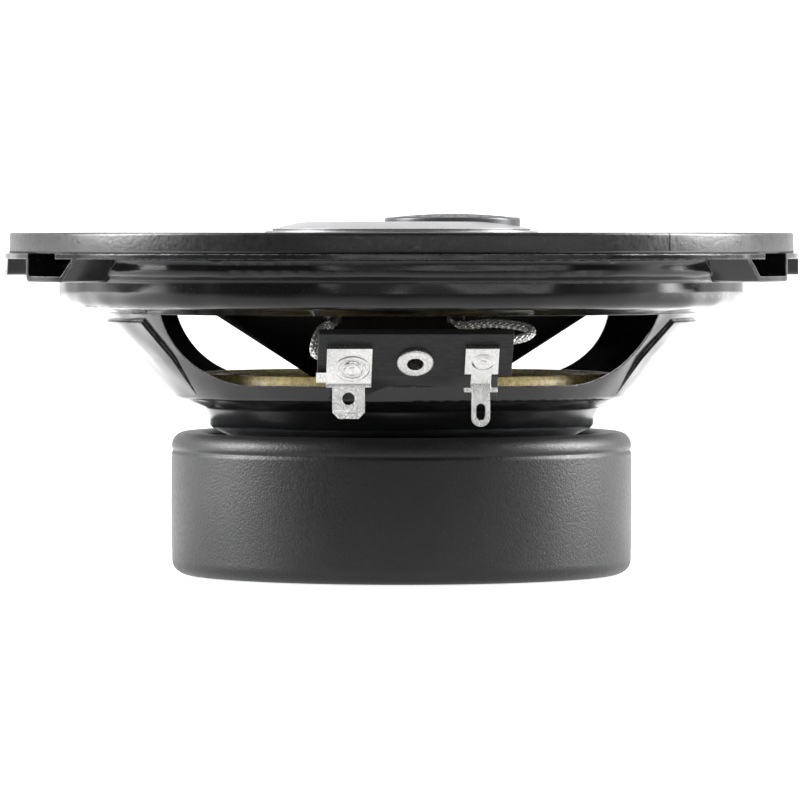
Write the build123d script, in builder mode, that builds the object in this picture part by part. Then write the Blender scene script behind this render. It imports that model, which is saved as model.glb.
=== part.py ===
from build123d import *
import math
import os

os.makedirs("parts", exist_ok=True)

# Millimetres. The cone faces +Z, the terminals face -Y, and Z is zero under the motor cover.

# Basket sheet, as the middle of the sheet
sheet = 0.9
seat_bore = 20.0
seat_low = 22.5
seat_edge = 27.6
neck_low_radius = 31.4
neck_low_height = 24.7
neck_radius = 33.0
neck_top = 28.1
ledge_radius = 38.2
ledge_height = 29.85
waist_radius = 42.8
waist_height = 36.6
arm_top_radius = 49.7
arm_top_height = 43.9
bead_low_radius = 56.55
bead_low_height = 45.2
wall_radius = 56.55
wall_step_height = 49.2
wall_step_rise = 1.1
wall_top_radius = 58.4
flange_radius = 66.0
flange_top = 53.3
waist_round = 6.0
bead_round = 2.2
trim_allowance = 1.0

# Basket openings
window_sill = 2.15
window_head = 0.5
window_low_half = 36.5
window_high_half = 40.3
window_rounding = 1.316
rear_arm_half = 8.0
rear_window_inset = 3.0
small_corner = 2.0

# Raised panel on each side arm
panel_lift = 0.45
panel_half_angle = 28.0

# Ear pads pressed down from the flange
ear_angle = 64.0
ear_hole_circle = 62.0
ear_hole_radius = 2.2
ear_hole_clearance = 0.4
ear_half_width = 6.7
ear_depth = 3.7
ear_slope_run = 4.4
ear_inner_radius = 57.5
side_pad_half_width = 9.5
side_pad_depth = 2.7

# Motor
boot_radius = 38.4
boot_wall = 1.5
boot_base = 1.5
boot_corner = 2.4
boot_shoulder = 2.2
boot_top = 23.6
boot_lip_radius = 33.0
boot_groove_height = 20.6
boot_groove = 0.35
back_plate_radius = 34.0
back_plate_thickness = 5.5
magnet_bore = 16.5
magnet_height = 10.5
top_plate_radius = 34.0
top_plate_height = 5.0
pole_radius = 12.5
gap_radius = 13.9

# Voice coil, spider and cone
former_inner = 12.9
former_wall = 0.15
former_low = 15.0
former_high = 33.4
winding_wall = 0.4
winding_low = 16.0
winding_height = 8.0
cone_wall = 0.7
cone_neck_low = 31.4
cone_neck_high = 32.5
cone_foot_radius = 15.0
cone_foot_height = 33.1
cone_edge_radius = 46.0
cone_edge_height = 53.1
cone_rim_radius = 47.3
spider_wall = 0.4
spider_collar_low = 29.4
spider_collar_high = 30.7
spider_first_radius = 15.6
spider_last_radius = 34.6
spider_wave_count = 5
spider_first_height = 31.2
spider_last_rise = 2.65
spider_wave = 0.75

# Surround and gasket
surround_wall = 0.5
surround_lap_inner = 45.4
roll_inner = 47.8
roll_outer = 57.0
roll_rise = 2.35
surround_rim_radius = 65.0
gasket_inner = 58.4
gasket_outer = 65.2
gasket_top = 56.7
gasket_count = 3
gasket_first_joint = -52.0
gasket_joint = 0.15

# Post, bolt and nut on the axis
bolt_radius = 1.9
bolt_clearance = 0.15
bolt_head_radius = 3.3
bolt_head_height = 2.4
nut_radius = 3.4
nut_height = 2.6
nut_pocket_radius = 4.3
nut_pocket_depth = 3.2
post_radius = 4.2
post_top = 46.0
foam_inner = 4.6
foam_outer = 11.4
foam_height = 2.0

# Terminal board, lying on a tongue that leans outwards at 45 degrees
board_out = 6.9
board_up = 7.25
board_width = 31.0
board_low = -3.5
board_high = 6.1
board_thickness = 1.2
tongue_half = 13.5
tongue_low = -10.1
tongue_high = 5.0
rivet_bore = 1.3
rivet_shank = 1.9
rivet_head = 3.0
rivet_head_height = 0.8

# Terminals
tab_thickness = 0.8
tab_bend_radius = 1.0
tab_bend_along = -4.4
positive_x = -10.5
positive_plate = 7.2
positive_tab = 5.2
positive_drop = 10.1
positive_hole = 1.0
positive_hole_up = 3.2
positive_rivet = (-10.0, -0.9)
negative_x = 10.6
negative_plate = 5.4
negative_neck = 3.3
negative_tab = 3.0
negative_drop = 11.4
negative_slot_up = 2.4
negative_rivet = (10.8, 0.6)
terminal_plate_high = 3.6
shoulder_drop = 5.1
terminal_rivet_shank = 0.9
terminal_rivet_head = 1.9
terminal_rivet_rise = 0.5

# Leads
lead_radius = 0.8
pod_lead_radius = 0.4
eyelet_radius = 1.5
eyelet_height = 0.5
eyelet_seat = 0.05
eyelet_stub = 1.7
eyelet_place_radius = 31.0
eyelet_middle_angle = -95.0
eyelet_spread = 18.5
lead_bend = 1.2
lead_back = 2.0
negative_loop = ((18.0, 3.9, 2.5), (19.8, 7.9, 4.3))
positive_loop = ((-16.3, 2.9, -0.7), (-15.4, 7.5, 3.3))
negative_approach = (5.1, -2.6, -0.4)
positive_approach = (-0.9, -4.4, -0.7)
pod_lead_reach = 14.5
pod_lead_stub = 1.7
pod_lead_drop = 2.1

# Pod
pod_radius = 22.7
pod_wall = 1.2
pod_hub_radius = 6.6
pod_bowl_radius = 16.5
pod_bowl_height = 48.0
pod_side_low = 51.8
pod_rim_top = 57.0
cover_rim_radius = 21.9
cover_rim_low = 57.25
cover_shoulder_radius = 16.6
cover_top = 58.5
cover_wall = 1.0
cover_round = 8.0
cover_skirt_low = 54.6

# Tweeter, off the axis towards +X
tweeter_x = 8.5
tweeter_radius = 11.3
tweeter_top = 59.25
tweeter_ring_wall = 1.0
tweeter_base_low = 54.4
tweeter_base_height = 1.0
tweeter_yoke_radius = 7.6
tweeter_yoke_wall = 1.0
tweeter_yoke_low = 50.8
tweeter_magnet_radius = 5.2
tweeter_magnet_height = 1.6
tweeter_pole_radius = 5.4
tweeter_pole_height = 1.0
tweeter_coil_inner = 5.8
tweeter_coil_outer = 6.15
tweeter_coil_low = 52.7
tweeter_coil_height = 3.0
tweeter_dome_rise = 1.9
tweeter_film = 0.2
tweeter_dome_flange = 6.4
tweeter_base_bore = 7.0
tweeter_roll_inner = 6.8
tweeter_roll_outer = 8.7
tweeter_roll_rise = 0.8
tweeter_land_outer = 9.7
tweeter_guard_crown = 0.6
tweeter_guard_wall = 0.4
tweeter_guard_hole = 0.5
tweeter_guard_pitch = 2.1
tweeter_guard_ring_count = 4

# Small flush tweeter, off the axis towards -X, and the capacitor
super_x = -12.0
super_radius = 5.4
super_low = 53.0
super_high = 58.2
super_wall = 0.8
super_guard_low = 57.0
super_guard_hole = 0.6
super_guard_circle = 2.7
super_disc_height = 0.4
super_disc_low = 55.2
super_ledge = 0.8
capacitor_radius = 2.0
capacitor_length = 11.0
capacitor_height = 52.3

# Heights and radii that follow from those above
half = sheet / 2
flange_middle = flange_top - half
window_low = ledge_height + window_sill
window_high = arm_top_height - window_head
window_corner = window_rounding * (window_high - window_low)
spider_last_height = ledge_height + spider_last_rise
board_reach = ledge_radius + board_out
board_height = ledge_height + board_up
shoulder_height = board_height - shoulder_drop
positive_low = board_height - positive_drop
positive_hole_height = positive_low + positive_hole_up
negative_low = board_height - negative_drop
negative_slot_height = negative_low + negative_slot_up
yoke_low = boot_base
magnet_low = yoke_low + back_plate_thickness
top_plate_low = magnet_low + magnet_height
magnet_radius = boot_radius - boot_wall
top_plate_top = top_plate_low + top_plate_height
ear_angles = (ear_angle - 90, -ear_angle - 90, ear_angle + 90, 90 - ear_angle)
former_outer = former_inner + former_wall
rim_middle = flange_top + surround_wall / 2
rim_top = flange_top + surround_wall
board_plane = Plane(
    origin=(0, -board_reach, board_height),
    x_dir=(1, 0, 0),
    z_dir=(0, -math.sqrt(0.5), -math.sqrt(0.5)),
)


def lean(along, out):
    """The (y, z) of a point on the leaning board, from its place up the board and off it."""
    root = math.sqrt(0.5)
    return (-board_reach - root * (along + out), board_height + root * (along - out))


def upright(angle):
    """The upright plane on the axis whose normal points outwards at an angle from +X."""
    turn = math.radians(angle)
    across = (-math.sin(turn), math.cos(turn), 0)
    return Plane(origin=(0, 0, 0), x_dir=across, z_dir=(math.cos(turn), math.sin(turn), 0))


def save(builder, name):
    """Label a finished piece and write it."""
    builder.part.label = name
    export_step(builder.part, f"parts/{name}.step")


# Basket: one pressed sheet from the seat on the motor up to the flange
with BuildPart() as basket:
    with BuildSketch(Plane.XZ):
        with BuildLine():
            FilletPolyline(
                (seat_bore, seat_low + half),
                (seat_edge, seat_low + half),
                (neck_low_radius, neck_low_height),
                (neck_radius, neck_top),
                (ledge_radius, ledge_height),
                (waist_radius, waist_height),
                (arm_top_radius, arm_top_height),
                (bead_low_radius, bead_low_height),
                (wall_radius, wall_step_height),
                (wall_top_radius, wall_step_height + wall_step_rise),
                (wall_top_radius, flange_middle),
                (flange_radius + trim_allowance, flange_middle),
                radius=(1.0, 1.0, 0.8, 0.8, waist_round, 1.0, bead_round, 1.0, 0.7, 1.3),
            )
        trace(line_width=sheet)
    revolve(axis=Axis.Z)

    # Windows: one across the front, two at the rear on either side of an arm
    with BuildSketch(upright(-90)):
        with BuildLine():
            wide = FilletPolyline(
                (-window_high_half, window_high),
                (-window_low_half, window_low),
                (window_low_half, window_low),
                (window_high_half, window_high),
                radius=window_corner,
            )
            Line(wide @ 1, wide @ 0)
        make_face()
    extrude(amount=flange_radius, mode=Mode.SUBTRACT)
    for side in (-1, 1):
        with BuildSketch(upright(90)):
            with BuildLine():
                narrow = FilletPolyline(
                    (side * rear_arm_half, window_high),
                    (side * rear_arm_half, window_low),
                    (side * (window_low_half - rear_window_inset), window_low),
                    (side * (window_high_half - rear_window_inset), window_high),
                    radius=(small_corner, window_corner),
                )
                Line(narrow @ 1, narrow @ 0)
            make_face()
        extrude(amount=flange_radius, mode=Mode.SUBTRACT)

    # Tongue for the terminal board
    with BuildSketch(board_plane):
        with BuildLine():
            Polyline(
                (-tongue_half, tongue_low),
                (tongue_half, tongue_low),
                (tongue_half, tongue_high),
                (-tongue_half, tongue_high),
                close=True,
            )
        make_face()
    extrude(amount=-sheet)
    with BuildSketch(board_plane):
        Circle(rivet_shank)
        for place in (positive_rivet, negative_rivet):
            with Locations(place):
                Circle(terminal_rivet_head + 0.5)
    extrude(amount=-sheet, mode=Mode.SUBTRACT)

    # Raised panels on the side arms
    for middle in (0, 180):
        with BuildSketch(upright(middle - panel_half_angle - 90)):
            with BuildLine():
                FilletPolyline(
                    (ledge_radius + panel_lift, ledge_height + 0.6),
                    (waist_radius + panel_lift, waist_height - 0.3),
                    (arm_top_radius + panel_lift - 1.2, arm_top_height - 1.6),
                    radius=waist_round,
                )
            trace(line_width=sheet)
        revolve(axis=Axis.Z, revolution_arc=2 * panel_half_angle)

    # Ear pads: a notch in the flange over a channel of the same sheet
    for end in (-90, 90):
        for side in (-1, 1):
            angle = end + side * ear_angle
            outer_x = side * ear_half_width
            inner_x = side * (2.4 - ear_half_width)
            with BuildSketch(upright(angle).offset(ear_inner_radius)):
                with Locations(((outer_x + inner_x) / 2, flange_middle)):
                    Rectangle(abs(outer_x - inner_x), 2 * sheet)
            extrude(amount=flange_radius, mode=Mode.SUBTRACT)
            with BuildSketch(upright(angle).offset(ear_inner_radius)):
                with BuildLine():
                    FilletPolyline(
                        (outer_x, flange_top),
                        (outer_x, flange_middle - ear_depth),
                        (-side * (ear_half_width - 0.4), flange_middle - ear_depth),
                        (-side * (ear_half_width - 0.4 + ear_slope_run), flange_middle),
                        radius=0.8,
                    )
                trace(line_width=sheet)
            extrude(amount=flange_radius - ear_inner_radius)
            with BuildSketch(Plane.XY.offset(flange_middle - ear_depth - sheet)):
                with PolarLocations(ear_hole_circle, 1, start_angle=angle):
                    Circle(ear_hole_radius)
            extrude(amount=2 * sheet, mode=Mode.SUBTRACT)

    # Shallow pads at the sides
    for angle in (0, 180):
        with BuildSketch(upright(angle).offset(ear_inner_radius)):
            with BuildLine():
                FilletPolyline(
                    (-side_pad_half_width, flange_middle),
                    (-side_pad_half_width + 1, flange_middle - side_pad_depth),
                    (side_pad_half_width - 1, flange_middle - side_pad_depth),
                    (side_pad_half_width, flange_middle),
                    radius=0.7,
                )
            trace(line_width=sheet)
        extrude(amount=flange_radius - ear_inner_radius)

    # Trim everything to the round flange, and mark the step above the bead
    with BuildSketch(Plane.XY):
        Circle(flange_radius)
    extrude(amount=2 * flange_radius, mode=Mode.INTERSECT)

    # Holes for the stakes
    with BuildSketch(Plane.XY.offset(seat_low)):
        with PolarLocations((seat_bore + seat_edge) / 2, 4, start_angle=45):
            Circle(1.5)
    extrude(amount=sheet, mode=Mode.SUBTRACT)
save(basket, "basket")

# Front gasket: lengths of one strip with butt joints
with BuildPart() as front_gasket:
    with BuildSketch(Plane.XY.offset(rim_top)):
        Circle(gasket_outer)
        Circle(gasket_inner, mode=Mode.SUBTRACT)
        joint_radius = (gasket_inner + gasket_outer) / 2
        with PolarLocations(joint_radius, gasket_count, start_angle=gasket_first_joint):
            Rectangle(gasket_inner / 2, gasket_joint, mode=Mode.SUBTRACT)
        for angle in ear_angles:
            with PolarLocations(ear_hole_circle, 1, start_angle=angle):
                Circle(ear_hole_radius, mode=Mode.SUBTRACT)
    extrude(amount=gasket_top - rim_top)
save(front_gasket, "front_gasket")

# Surround: a flattened half roll between a lap on the cone and a rim under the gasket
lap_middle = cone_edge_height + cone_wall / 2 + surround_wall / 2
with BuildPart() as surround:
    with BuildSketch(Plane.XZ):
        with BuildLine():
            FilletPolyline(
                (surround_lap_inner, lap_middle),
                (roll_inner, lap_middle),
                (roll_inner + 1.6, rim_middle + roll_rise),
                (roll_outer - 1.6, rim_middle + roll_rise),
                (roll_outer, rim_middle),
                (surround_rim_radius, rim_middle),
                radius=(0.4, 2.0, 2.0, 0.4),
            )
        trace(line_width=surround_wall)
    revolve(axis=Axis.Z)
    with BuildSketch(Plane.XY.offset(flange_top)):
        for angle in ear_angles:
            with PolarLocations(ear_hole_circle, 1, start_angle=angle):
                Circle(ear_hole_radius + ear_hole_clearance)
    extrude(amount=surround_wall, mode=Mode.SUBTRACT)
save(surround, "surround")

# Cone, from the neck glued on the former to its flat rim
with BuildPart() as cone:
    with BuildSketch(Plane.XZ):
        with BuildLine():
            FilletPolyline(
                (former_outer + cone_wall / 2, cone_neck_low),
                (former_outer + cone_wall / 2, cone_neck_high),
                (cone_foot_radius, cone_foot_height),
                (cone_edge_radius, cone_edge_height),
                (cone_rim_radius, cone_edge_height),
                radius=(0.4, 0.4, 0.6),
            )
        trace(line_width=cone_wall)
    revolve(axis=Axis.Z)
    with BuildSketch(Plane.XY):
        for side in (-1, 1):
            angle = eyelet_middle_angle + side * eyelet_spread
            with PolarLocations(eyelet_place_radius, 1, start_angle=angle):
                Circle(eyelet_radius - eyelet_height)
    extrude(amount=flange_top, mode=Mode.SUBTRACT)
save(cone, "cone")

# Spider: corrugated cloth from a collar on the former to the ledge of the basket
ledge_run = math.hypot(ledge_radius - neck_radius, ledge_height - neck_top)
ledge_cos = (ledge_radius - neck_radius) / ledge_run
ledge_sin = (ledge_height - neck_top) / ledge_run
spider_lift = half + spider_wall / 2
spider_line = [
    (former_outer + spider_wall / 2, spider_collar_low),
    (former_outer + spider_wall / 2, spider_collar_high),
]
for step in range(2 * spider_wave_count + 1):
    share = step / (2 * spider_wave_count)
    radius = spider_first_radius + share * (spider_last_radius - spider_first_radius)
    height = spider_first_height + share * (spider_last_height - spider_first_height)
    spider_line.append((radius, height + spider_wave * (-1) ** step))
for along in (3.3, 4.7):
    spider_line.append((
        neck_radius + along * ledge_cos - spider_lift * ledge_sin,
        neck_top + along * ledge_sin + spider_lift * ledge_cos,
    ))
with BuildPart() as spider:
    with BuildSketch(Plane.XZ):
        with BuildLine():
            FilletPolyline(*spider_line, radius=0.5)
        trace(line_width=spider_wall)
    revolve(axis=Axis.Z)
save(spider, "spider")

# Voice coil former and winding
with BuildPart() as voice_coil_former:
    with BuildSketch(Plane.XY.offset(former_low)):
        Circle(former_outer)
        Circle(former_inner, mode=Mode.SUBTRACT)
    extrude(amount=former_high - former_low)
save(voice_coil_former, "voice_coil_former")

with BuildPart() as voice_coil_winding:
    with BuildSketch(Plane.XY.offset(winding_low)):
        Circle(former_outer + winding_wall)
        Circle(former_outer, mode=Mode.SUBTRACT)
    extrude(amount=winding_height)
save(voice_coil_winding, "voice_coil_winding")

# Eyelets that join the leads through the cone
cone_slope = (cone_edge_height - cone_foot_height) / (cone_edge_radius - cone_foot_radius)
cone_tilt = math.degrees(math.atan(cone_slope))
eyelet_center = cone_foot_height + (eyelet_place_radius - cone_foot_radius) * cone_slope
with BuildPart() as cone_eyelets:
    for side in (-1, 1):
        turn = eyelet_middle_angle + side * eyelet_spread
        ray = (math.cos(math.radians(turn)), math.sin(math.radians(turn)))
        seat = (eyelet_place_radius * ray[0], eyelet_place_radius * ray[1], eyelet_center)
        lift = math.cos(math.radians(cone_tilt))
        fall = -math.sin(math.radians(cone_tilt))
        face = Plane(origin=seat, x_dir=(-ray[1], ray[0], 0),
                     z_dir=(fall * ray[0], fall * ray[1], lift))
        for level in (cone_wall / 2 + eyelet_seat, -cone_wall / 2 - eyelet_height):
            with BuildSketch(face.offset(level)):
                Circle(eyelet_radius)
            extrude(amount=eyelet_height)
        with BuildSketch(face.offset(-cone_wall / 2)):
            Circle(0.6 * (eyelet_radius - eyelet_height))
        extrude(amount=cone_wall + eyelet_seat)
save(cone_eyelets, "cone_eyelets")

# Yoke: back plate and pole in one forging
bolt_hole = bolt_radius + bolt_clearance
with BuildPart() as yoke:
    with BuildSketch(Plane.XY.offset(yoke_low)):
        Circle(back_plate_radius)
    extrude(amount=back_plate_thickness)
    with BuildSketch(Plane.XY.offset(magnet_low)):
        Circle(pole_radius)
    extrude(amount=top_plate_top - magnet_low)
    chamfer(yoke.edges().filter_by(GeomType.CIRCLE).sort_by(Axis.Z)[-1], 0.5)
    chamfer(yoke.edges().filter_by(GeomType.CIRCLE).sort_by(Axis.Z)[0], 1.0)
    with BuildSketch(Plane.XY.offset(yoke_low)):
        Circle(bolt_hole)
    extrude(amount=top_plate_top, mode=Mode.SUBTRACT)
    with BuildSketch(Plane.XY.offset(yoke_low)):
        Circle(nut_pocket_radius)
    extrude(amount=nut_pocket_depth, mode=Mode.SUBTRACT)
save(yoke, "yoke")

with BuildPart() as magnet:
    with BuildSketch(Plane.XY.offset(magnet_low)):
        Circle(magnet_radius)
        Circle(magnet_bore, mode=Mode.SUBTRACT)
    extrude(amount=magnet_height)
save(magnet, "magnet")

stake_circle = (seat_bore + seat_edge) / 2
stake_depth = 4.0
with BuildPart() as top_plate:
    with BuildSketch(Plane.XY.offset(top_plate_low)):
        Circle(top_plate_radius)
        Circle(gap_radius, mode=Mode.SUBTRACT)
    extrude(amount=top_plate_height)
    with BuildSketch(Plane.XY.offset(top_plate_top - stake_depth)):
        with PolarLocations(stake_circle, 4, start_angle=45):
            Circle(1.5)
    extrude(amount=stake_depth, mode=Mode.SUBTRACT)
save(top_plate, "top_plate")

# Stakes that clench the basket to the top plate
with BuildPart() as basket_rivets:
    with PolarLocations(stake_circle, 4, start_angle=45):
        with Locations((0, 0, top_plate_top - stake_depth)):
            Cylinder(1.5, stake_depth + sheet, align=(Align.CENTER, Align.CENTER, Align.MIN))
        with Locations((0, 0, seat_low + sheet)):
            Cylinder(2.4, 0.8, align=(Align.CENTER, Align.CENTER, Align.MIN))
save(basket_rivets, "basket_rivets")

# Soft cover stretched over the motor, with a lip over the top plate
with BuildPart() as magnet_boot:
    with BuildSketch(Plane.XZ):
        with BuildLine():
            skin = FilletPolyline(
                (0, 0),
                (boot_radius, 0),
                (boot_radius, boot_top),
                (boot_lip_radius, boot_top),
                radius=(boot_corner, boot_shoulder),
            )
            Polyline(
                skin @ 1,
                (boot_lip_radius, top_plate_top),
                (boot_radius - boot_wall, top_plate_top),
                (boot_radius - boot_wall, boot_base),
                (0, boot_base),
                skin @ 0,
            )
        make_face()
    revolve(axis=Axis.Z)
    with BuildSketch(Plane.XZ):
        with Locations((boot_radius, boot_groove_height)):
            Rectangle(2 * boot_groove, boot_groove)
    revolve(axis=Axis.Z, mode=Mode.SUBTRACT)
save(magnet_boot, "magnet_boot")

# Post on the pole, with its bolt, nut and foam ring
with BuildPart() as pod_post:
    with BuildSketch(Plane.XY.offset(top_plate_top)):
        Circle(post_radius)
        Circle(bolt_hole, mode=Mode.SUBTRACT)
    extrude(amount=post_top - top_plate_top)
save(pod_post, "pod_post")

nut_low = yoke_low + nut_pocket_depth - nut_height
with BuildPart() as post_bolt:
    with BuildSketch(Plane.XY.offset(nut_low)):
        Circle(bolt_radius)
    extrude(amount=post_top + pod_wall - nut_low)
    with BuildSketch(Plane.XY.offset(post_top + pod_wall)):
        RegularPolygon(radius=bolt_head_radius, side_count=6)
    extrude(amount=bolt_head_height)
save(post_bolt, "post_bolt")

with BuildPart() as post_nut:
    with BuildSketch(Plane.XY.offset(nut_low)):
        RegularPolygon(radius=nut_radius, side_count=6)
        Circle(bolt_radius, mode=Mode.SUBTRACT)
    extrude(amount=nut_height)
save(post_nut, "post_nut")

with BuildPart() as pole_foam_ring:
    with BuildSketch(Plane.XY.offset(top_plate_top)):
        Circle(foam_outer)
        Circle(foam_inner, mode=Mode.SUBTRACT)
    extrude(amount=foam_height)
save(pole_foam_ring, "pole_foam_ring")

# Terminal board and the hollow rivet that holds it on the tongue
with BuildPart() as terminal_board:
    with BuildSketch(board_plane):
        with Locations((0, (board_low + board_high) / 2)):
            Rectangle(board_width, board_high - board_low)
        Circle(rivet_shank, mode=Mode.SUBTRACT)
        with Locations(positive_rivet, negative_rivet):
            Circle(terminal_rivet_shank, mode=Mode.SUBTRACT)
    extrude(amount=board_thickness)
save(terminal_board, "terminal_board")

with BuildPart() as board_rivet:
    with BuildSketch(board_plane.offset(-sheet - rivet_head_height)):
        Circle(rivet_head)
    extrude(amount=rivet_head_height)
    with BuildSketch(board_plane.offset(-sheet)):
        Circle(rivet_shank)
    extrude(amount=sheet + board_thickness)
    with BuildSketch(board_plane.offset(board_thickness)):
        Circle(rivet_head)
    extrude(amount=rivet_head_height)
    rims = board_rivet.edges().filter_by(GeomType.CIRCLE).sort_by(Axis(board_plane.origin, board_plane.z_dir))
    fillet(rims[-1], 0.5)
    with BuildSketch(board_plane.offset(-sheet - rivet_head_height)):
        Circle(rivet_bore)
    extrude(amount=2 * (sheet + board_thickness + rivet_head_height), mode=Mode.SUBTRACT)
save(board_rivet, "board_rivet")

# Terminals: bent strips, trimmed to their outlines as seen from the front
tab_out = board_thickness + tab_thickness / 2
tab_bend = lean(tab_bend_along, tab_out)
spur = 1.6
with BuildPart() as terminal_positive:
    with BuildSketch(Plane.YZ.offset(positive_x - positive_plate / 2 - spur)):
        with BuildLine():
            FilletPolyline(
                lean(terminal_plate_high, tab_out),
                tab_bend,
                (tab_bend[0], positive_low),
                radius=tab_bend_radius,
            )
        trace(line_width=tab_thickness)
    extrude(amount=positive_plate + spur)
    with BuildSketch(Plane.XZ):
        with Locations((positive_x, shoulder_height)):
            Rectangle(positive_plate, post_top, align=(Align.CENTER, Align.MIN))
        with Locations((positive_x - positive_plate / 2 - spur, shoulder_height + spur / 2)):
            Rectangle(2 * spur, spur, align=(Align.MIN, Align.MIN))
        with BuildLine():
            Polyline(
                (positive_x - positive_tab / 2, shoulder_height),
                (positive_x - positive_tab / 2, positive_low + 1),
                (positive_x - positive_tab / 2 + 1, positive_low),
                (positive_x + positive_tab / 2 - 1, positive_low),
                (positive_x + positive_tab / 2, positive_low + 1),
                (positive_x + positive_tab / 2, shoulder_height),
                close=True,
            )
        make_face()
        with Locations((positive_x, positive_hole_height)):
            Circle(positive_hole, mode=Mode.SUBTRACT)
    extrude(amount=flange_radius, mode=Mode.INTERSECT)
    with BuildSketch(board_plane):
        with Locations(positive_rivet):
            Circle(terminal_rivet_shank)
    extrude(amount=tab_out + tab_thickness, mode=Mode.SUBTRACT)
save(terminal_positive, "terminal_positive")

neck_top_height = tab_bend[1] + 1.2
with BuildPart() as terminal_negative:
    with BuildSketch(Plane.YZ.offset(negative_x - negative_plate / 2)):
        with BuildLine():
            FilletPolyline(
                lean(terminal_plate_high, tab_out),
                tab_bend,
                (tab_bend[0], negative_low),
                radius=tab_bend_radius,
            )
        trace(line_width=tab_thickness)
    extrude(amount=negative_plate)
    with BuildSketch(Plane.XZ):
        with Locations((negative_x, neck_top_height)):
            Rectangle(negative_plate, post_top, align=(Align.CENTER, Align.MIN))
        with Locations((negative_x, shoulder_height)):
            Rectangle(negative_neck, tab_bend[1], align=(Align.CENTER, Align.MIN))
            Rectangle(negative_plate, tab_thickness, align=(Align.CENTER, Align.MAX))
        with Locations((negative_x, negative_low)):
            SlotOverall(2 * (shoulder_height - negative_low), negative_tab, rotation=90,
                        align=(Align.MIN, Align.CENTER))
        with Locations((negative_x, negative_slot_height)):
            SlotOverall(2.6, 1.4, rotation=90, mode=Mode.SUBTRACT)
    extrude(amount=flange_radius, mode=Mode.INTERSECT)
    with BuildSketch(board_plane):
        with Locations(negative_rivet):
            Circle(terminal_rivet_shank)
    extrude(amount=tab_out + tab_thickness, mode=Mode.SUBTRACT)
save(terminal_negative, "terminal_negative")

with BuildPart() as terminal_rivets:
    with BuildSketch(board_plane.offset(-terminal_rivet_rise)):
        with Locations(positive_rivet, negative_rivet):
            Circle(terminal_rivet_head)
    extrude(amount=terminal_rivet_rise)
    with BuildSketch(board_plane):
        with Locations(positive_rivet, negative_rivet):
            Circle(terminal_rivet_shank)
    extrude(amount=board_thickness + tab_thickness)
    with BuildSketch(board_plane.offset(board_thickness + tab_thickness)):
        with Locations(positive_rivet, negative_rivet):
            Circle(terminal_rivet_head)
    extrude(amount=terminal_rivet_rise)
save(terminal_rivets, "terminal_rivets")

# Braided leads from the backs of the terminal rivets to the eyelets in the cone
def eyelet_back(side, out):
    """A point straight off the back face of one cone eyelet."""
    turn = math.radians(eyelet_middle_angle + side * eyelet_spread)
    reach = cone_wall / 2 + eyelet_height + out
    tilt = math.radians(cone_tilt)
    radius = eyelet_place_radius + reach * math.sin(tilt)
    return (radius * math.cos(turn), radius * math.sin(turn), eyelet_center - reach * math.cos(tilt))


def rivet_back(place, out):
    """A point behind a terminal rivet, straight off the back of the board."""
    y, z = lean(place[1], -out)
    return (place[0], y, z)


def lead_points(side, loop, approach):
    """The bends of a braided lead: a loop placed from the board, then a point placed from the eyelet."""
    eyelet = eyelet_back(side, 0)
    bends = [(x, y - board_reach, z + board_height) for x, y, z in loop]
    return [*bends, (eyelet[0] + approach[0], eyelet[1] + approach[1], eyelet[2] + approach[2])]


with BuildPart() as tinsel_lead_positive:
    with BuildLine():
        route = FilletPolyline(
            rivet_back(positive_rivet, terminal_rivet_rise),
            rivet_back(positive_rivet, terminal_rivet_rise + lead_back),
            *lead_points(-1, positive_loop, positive_approach),
            eyelet_back(-1, eyelet_stub),
            eyelet_back(-1, 0),
            radius=lead_bend,
        )
    with BuildSketch(Plane(origin=route @ 0, z_dir=route % 0)):
        Circle(lead_radius)
    sweep()
save(tinsel_lead_positive, "tinsel_lead_positive")

with BuildPart() as tinsel_lead_negative:
    with BuildLine():
        route = FilletPolyline(
            rivet_back(negative_rivet, terminal_rivet_rise),
            rivet_back(negative_rivet, terminal_rivet_rise + lead_back),
            *lead_points(1, negative_loop, negative_approach),
            eyelet_back(1, eyelet_stub),
            eyelet_back(1, 0),
            radius=lead_bend,
        )
    with BuildSketch(Plane(origin=route @ 0, z_dir=route % 0)):
        Circle(lead_radius)
    sweep()
save(tinsel_lead_negative, "tinsel_lead_negative")

# Pod: a bowl bolted on the post, and the dome cover pushed into it
hub_middle = post_top + pod_wall / 2
pod_inner = pod_radius - pod_wall
with BuildPart() as pod_housing:
    with BuildSketch(Plane.XZ):
        with BuildLine():
            FilletPolyline(
                (bolt_hole, hub_middle),
                (pod_hub_radius, hub_middle),
                (pod_bowl_radius, pod_bowl_height),
                (pod_radius - pod_wall / 2, pod_side_low),
                (pod_radius - pod_wall / 2, pod_rim_top),
                radius=(0.8, 2.0, 1.5),
            )
        trace(line_width=pod_wall)
    revolve(axis=Axis.Z)
    with BuildSketch(Plane.XY.offset(post_top)):
        for side in (-1, 1):
            angle = eyelet_middle_angle + side * eyelet_spread
            with PolarLocations(pod_lead_reach, 1, start_angle=angle):
                Circle(2 * pod_lead_radius)
    extrude(amount=pod_side_low - post_top, mode=Mode.SUBTRACT)
save(pod_housing, "pod_housing")

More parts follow.
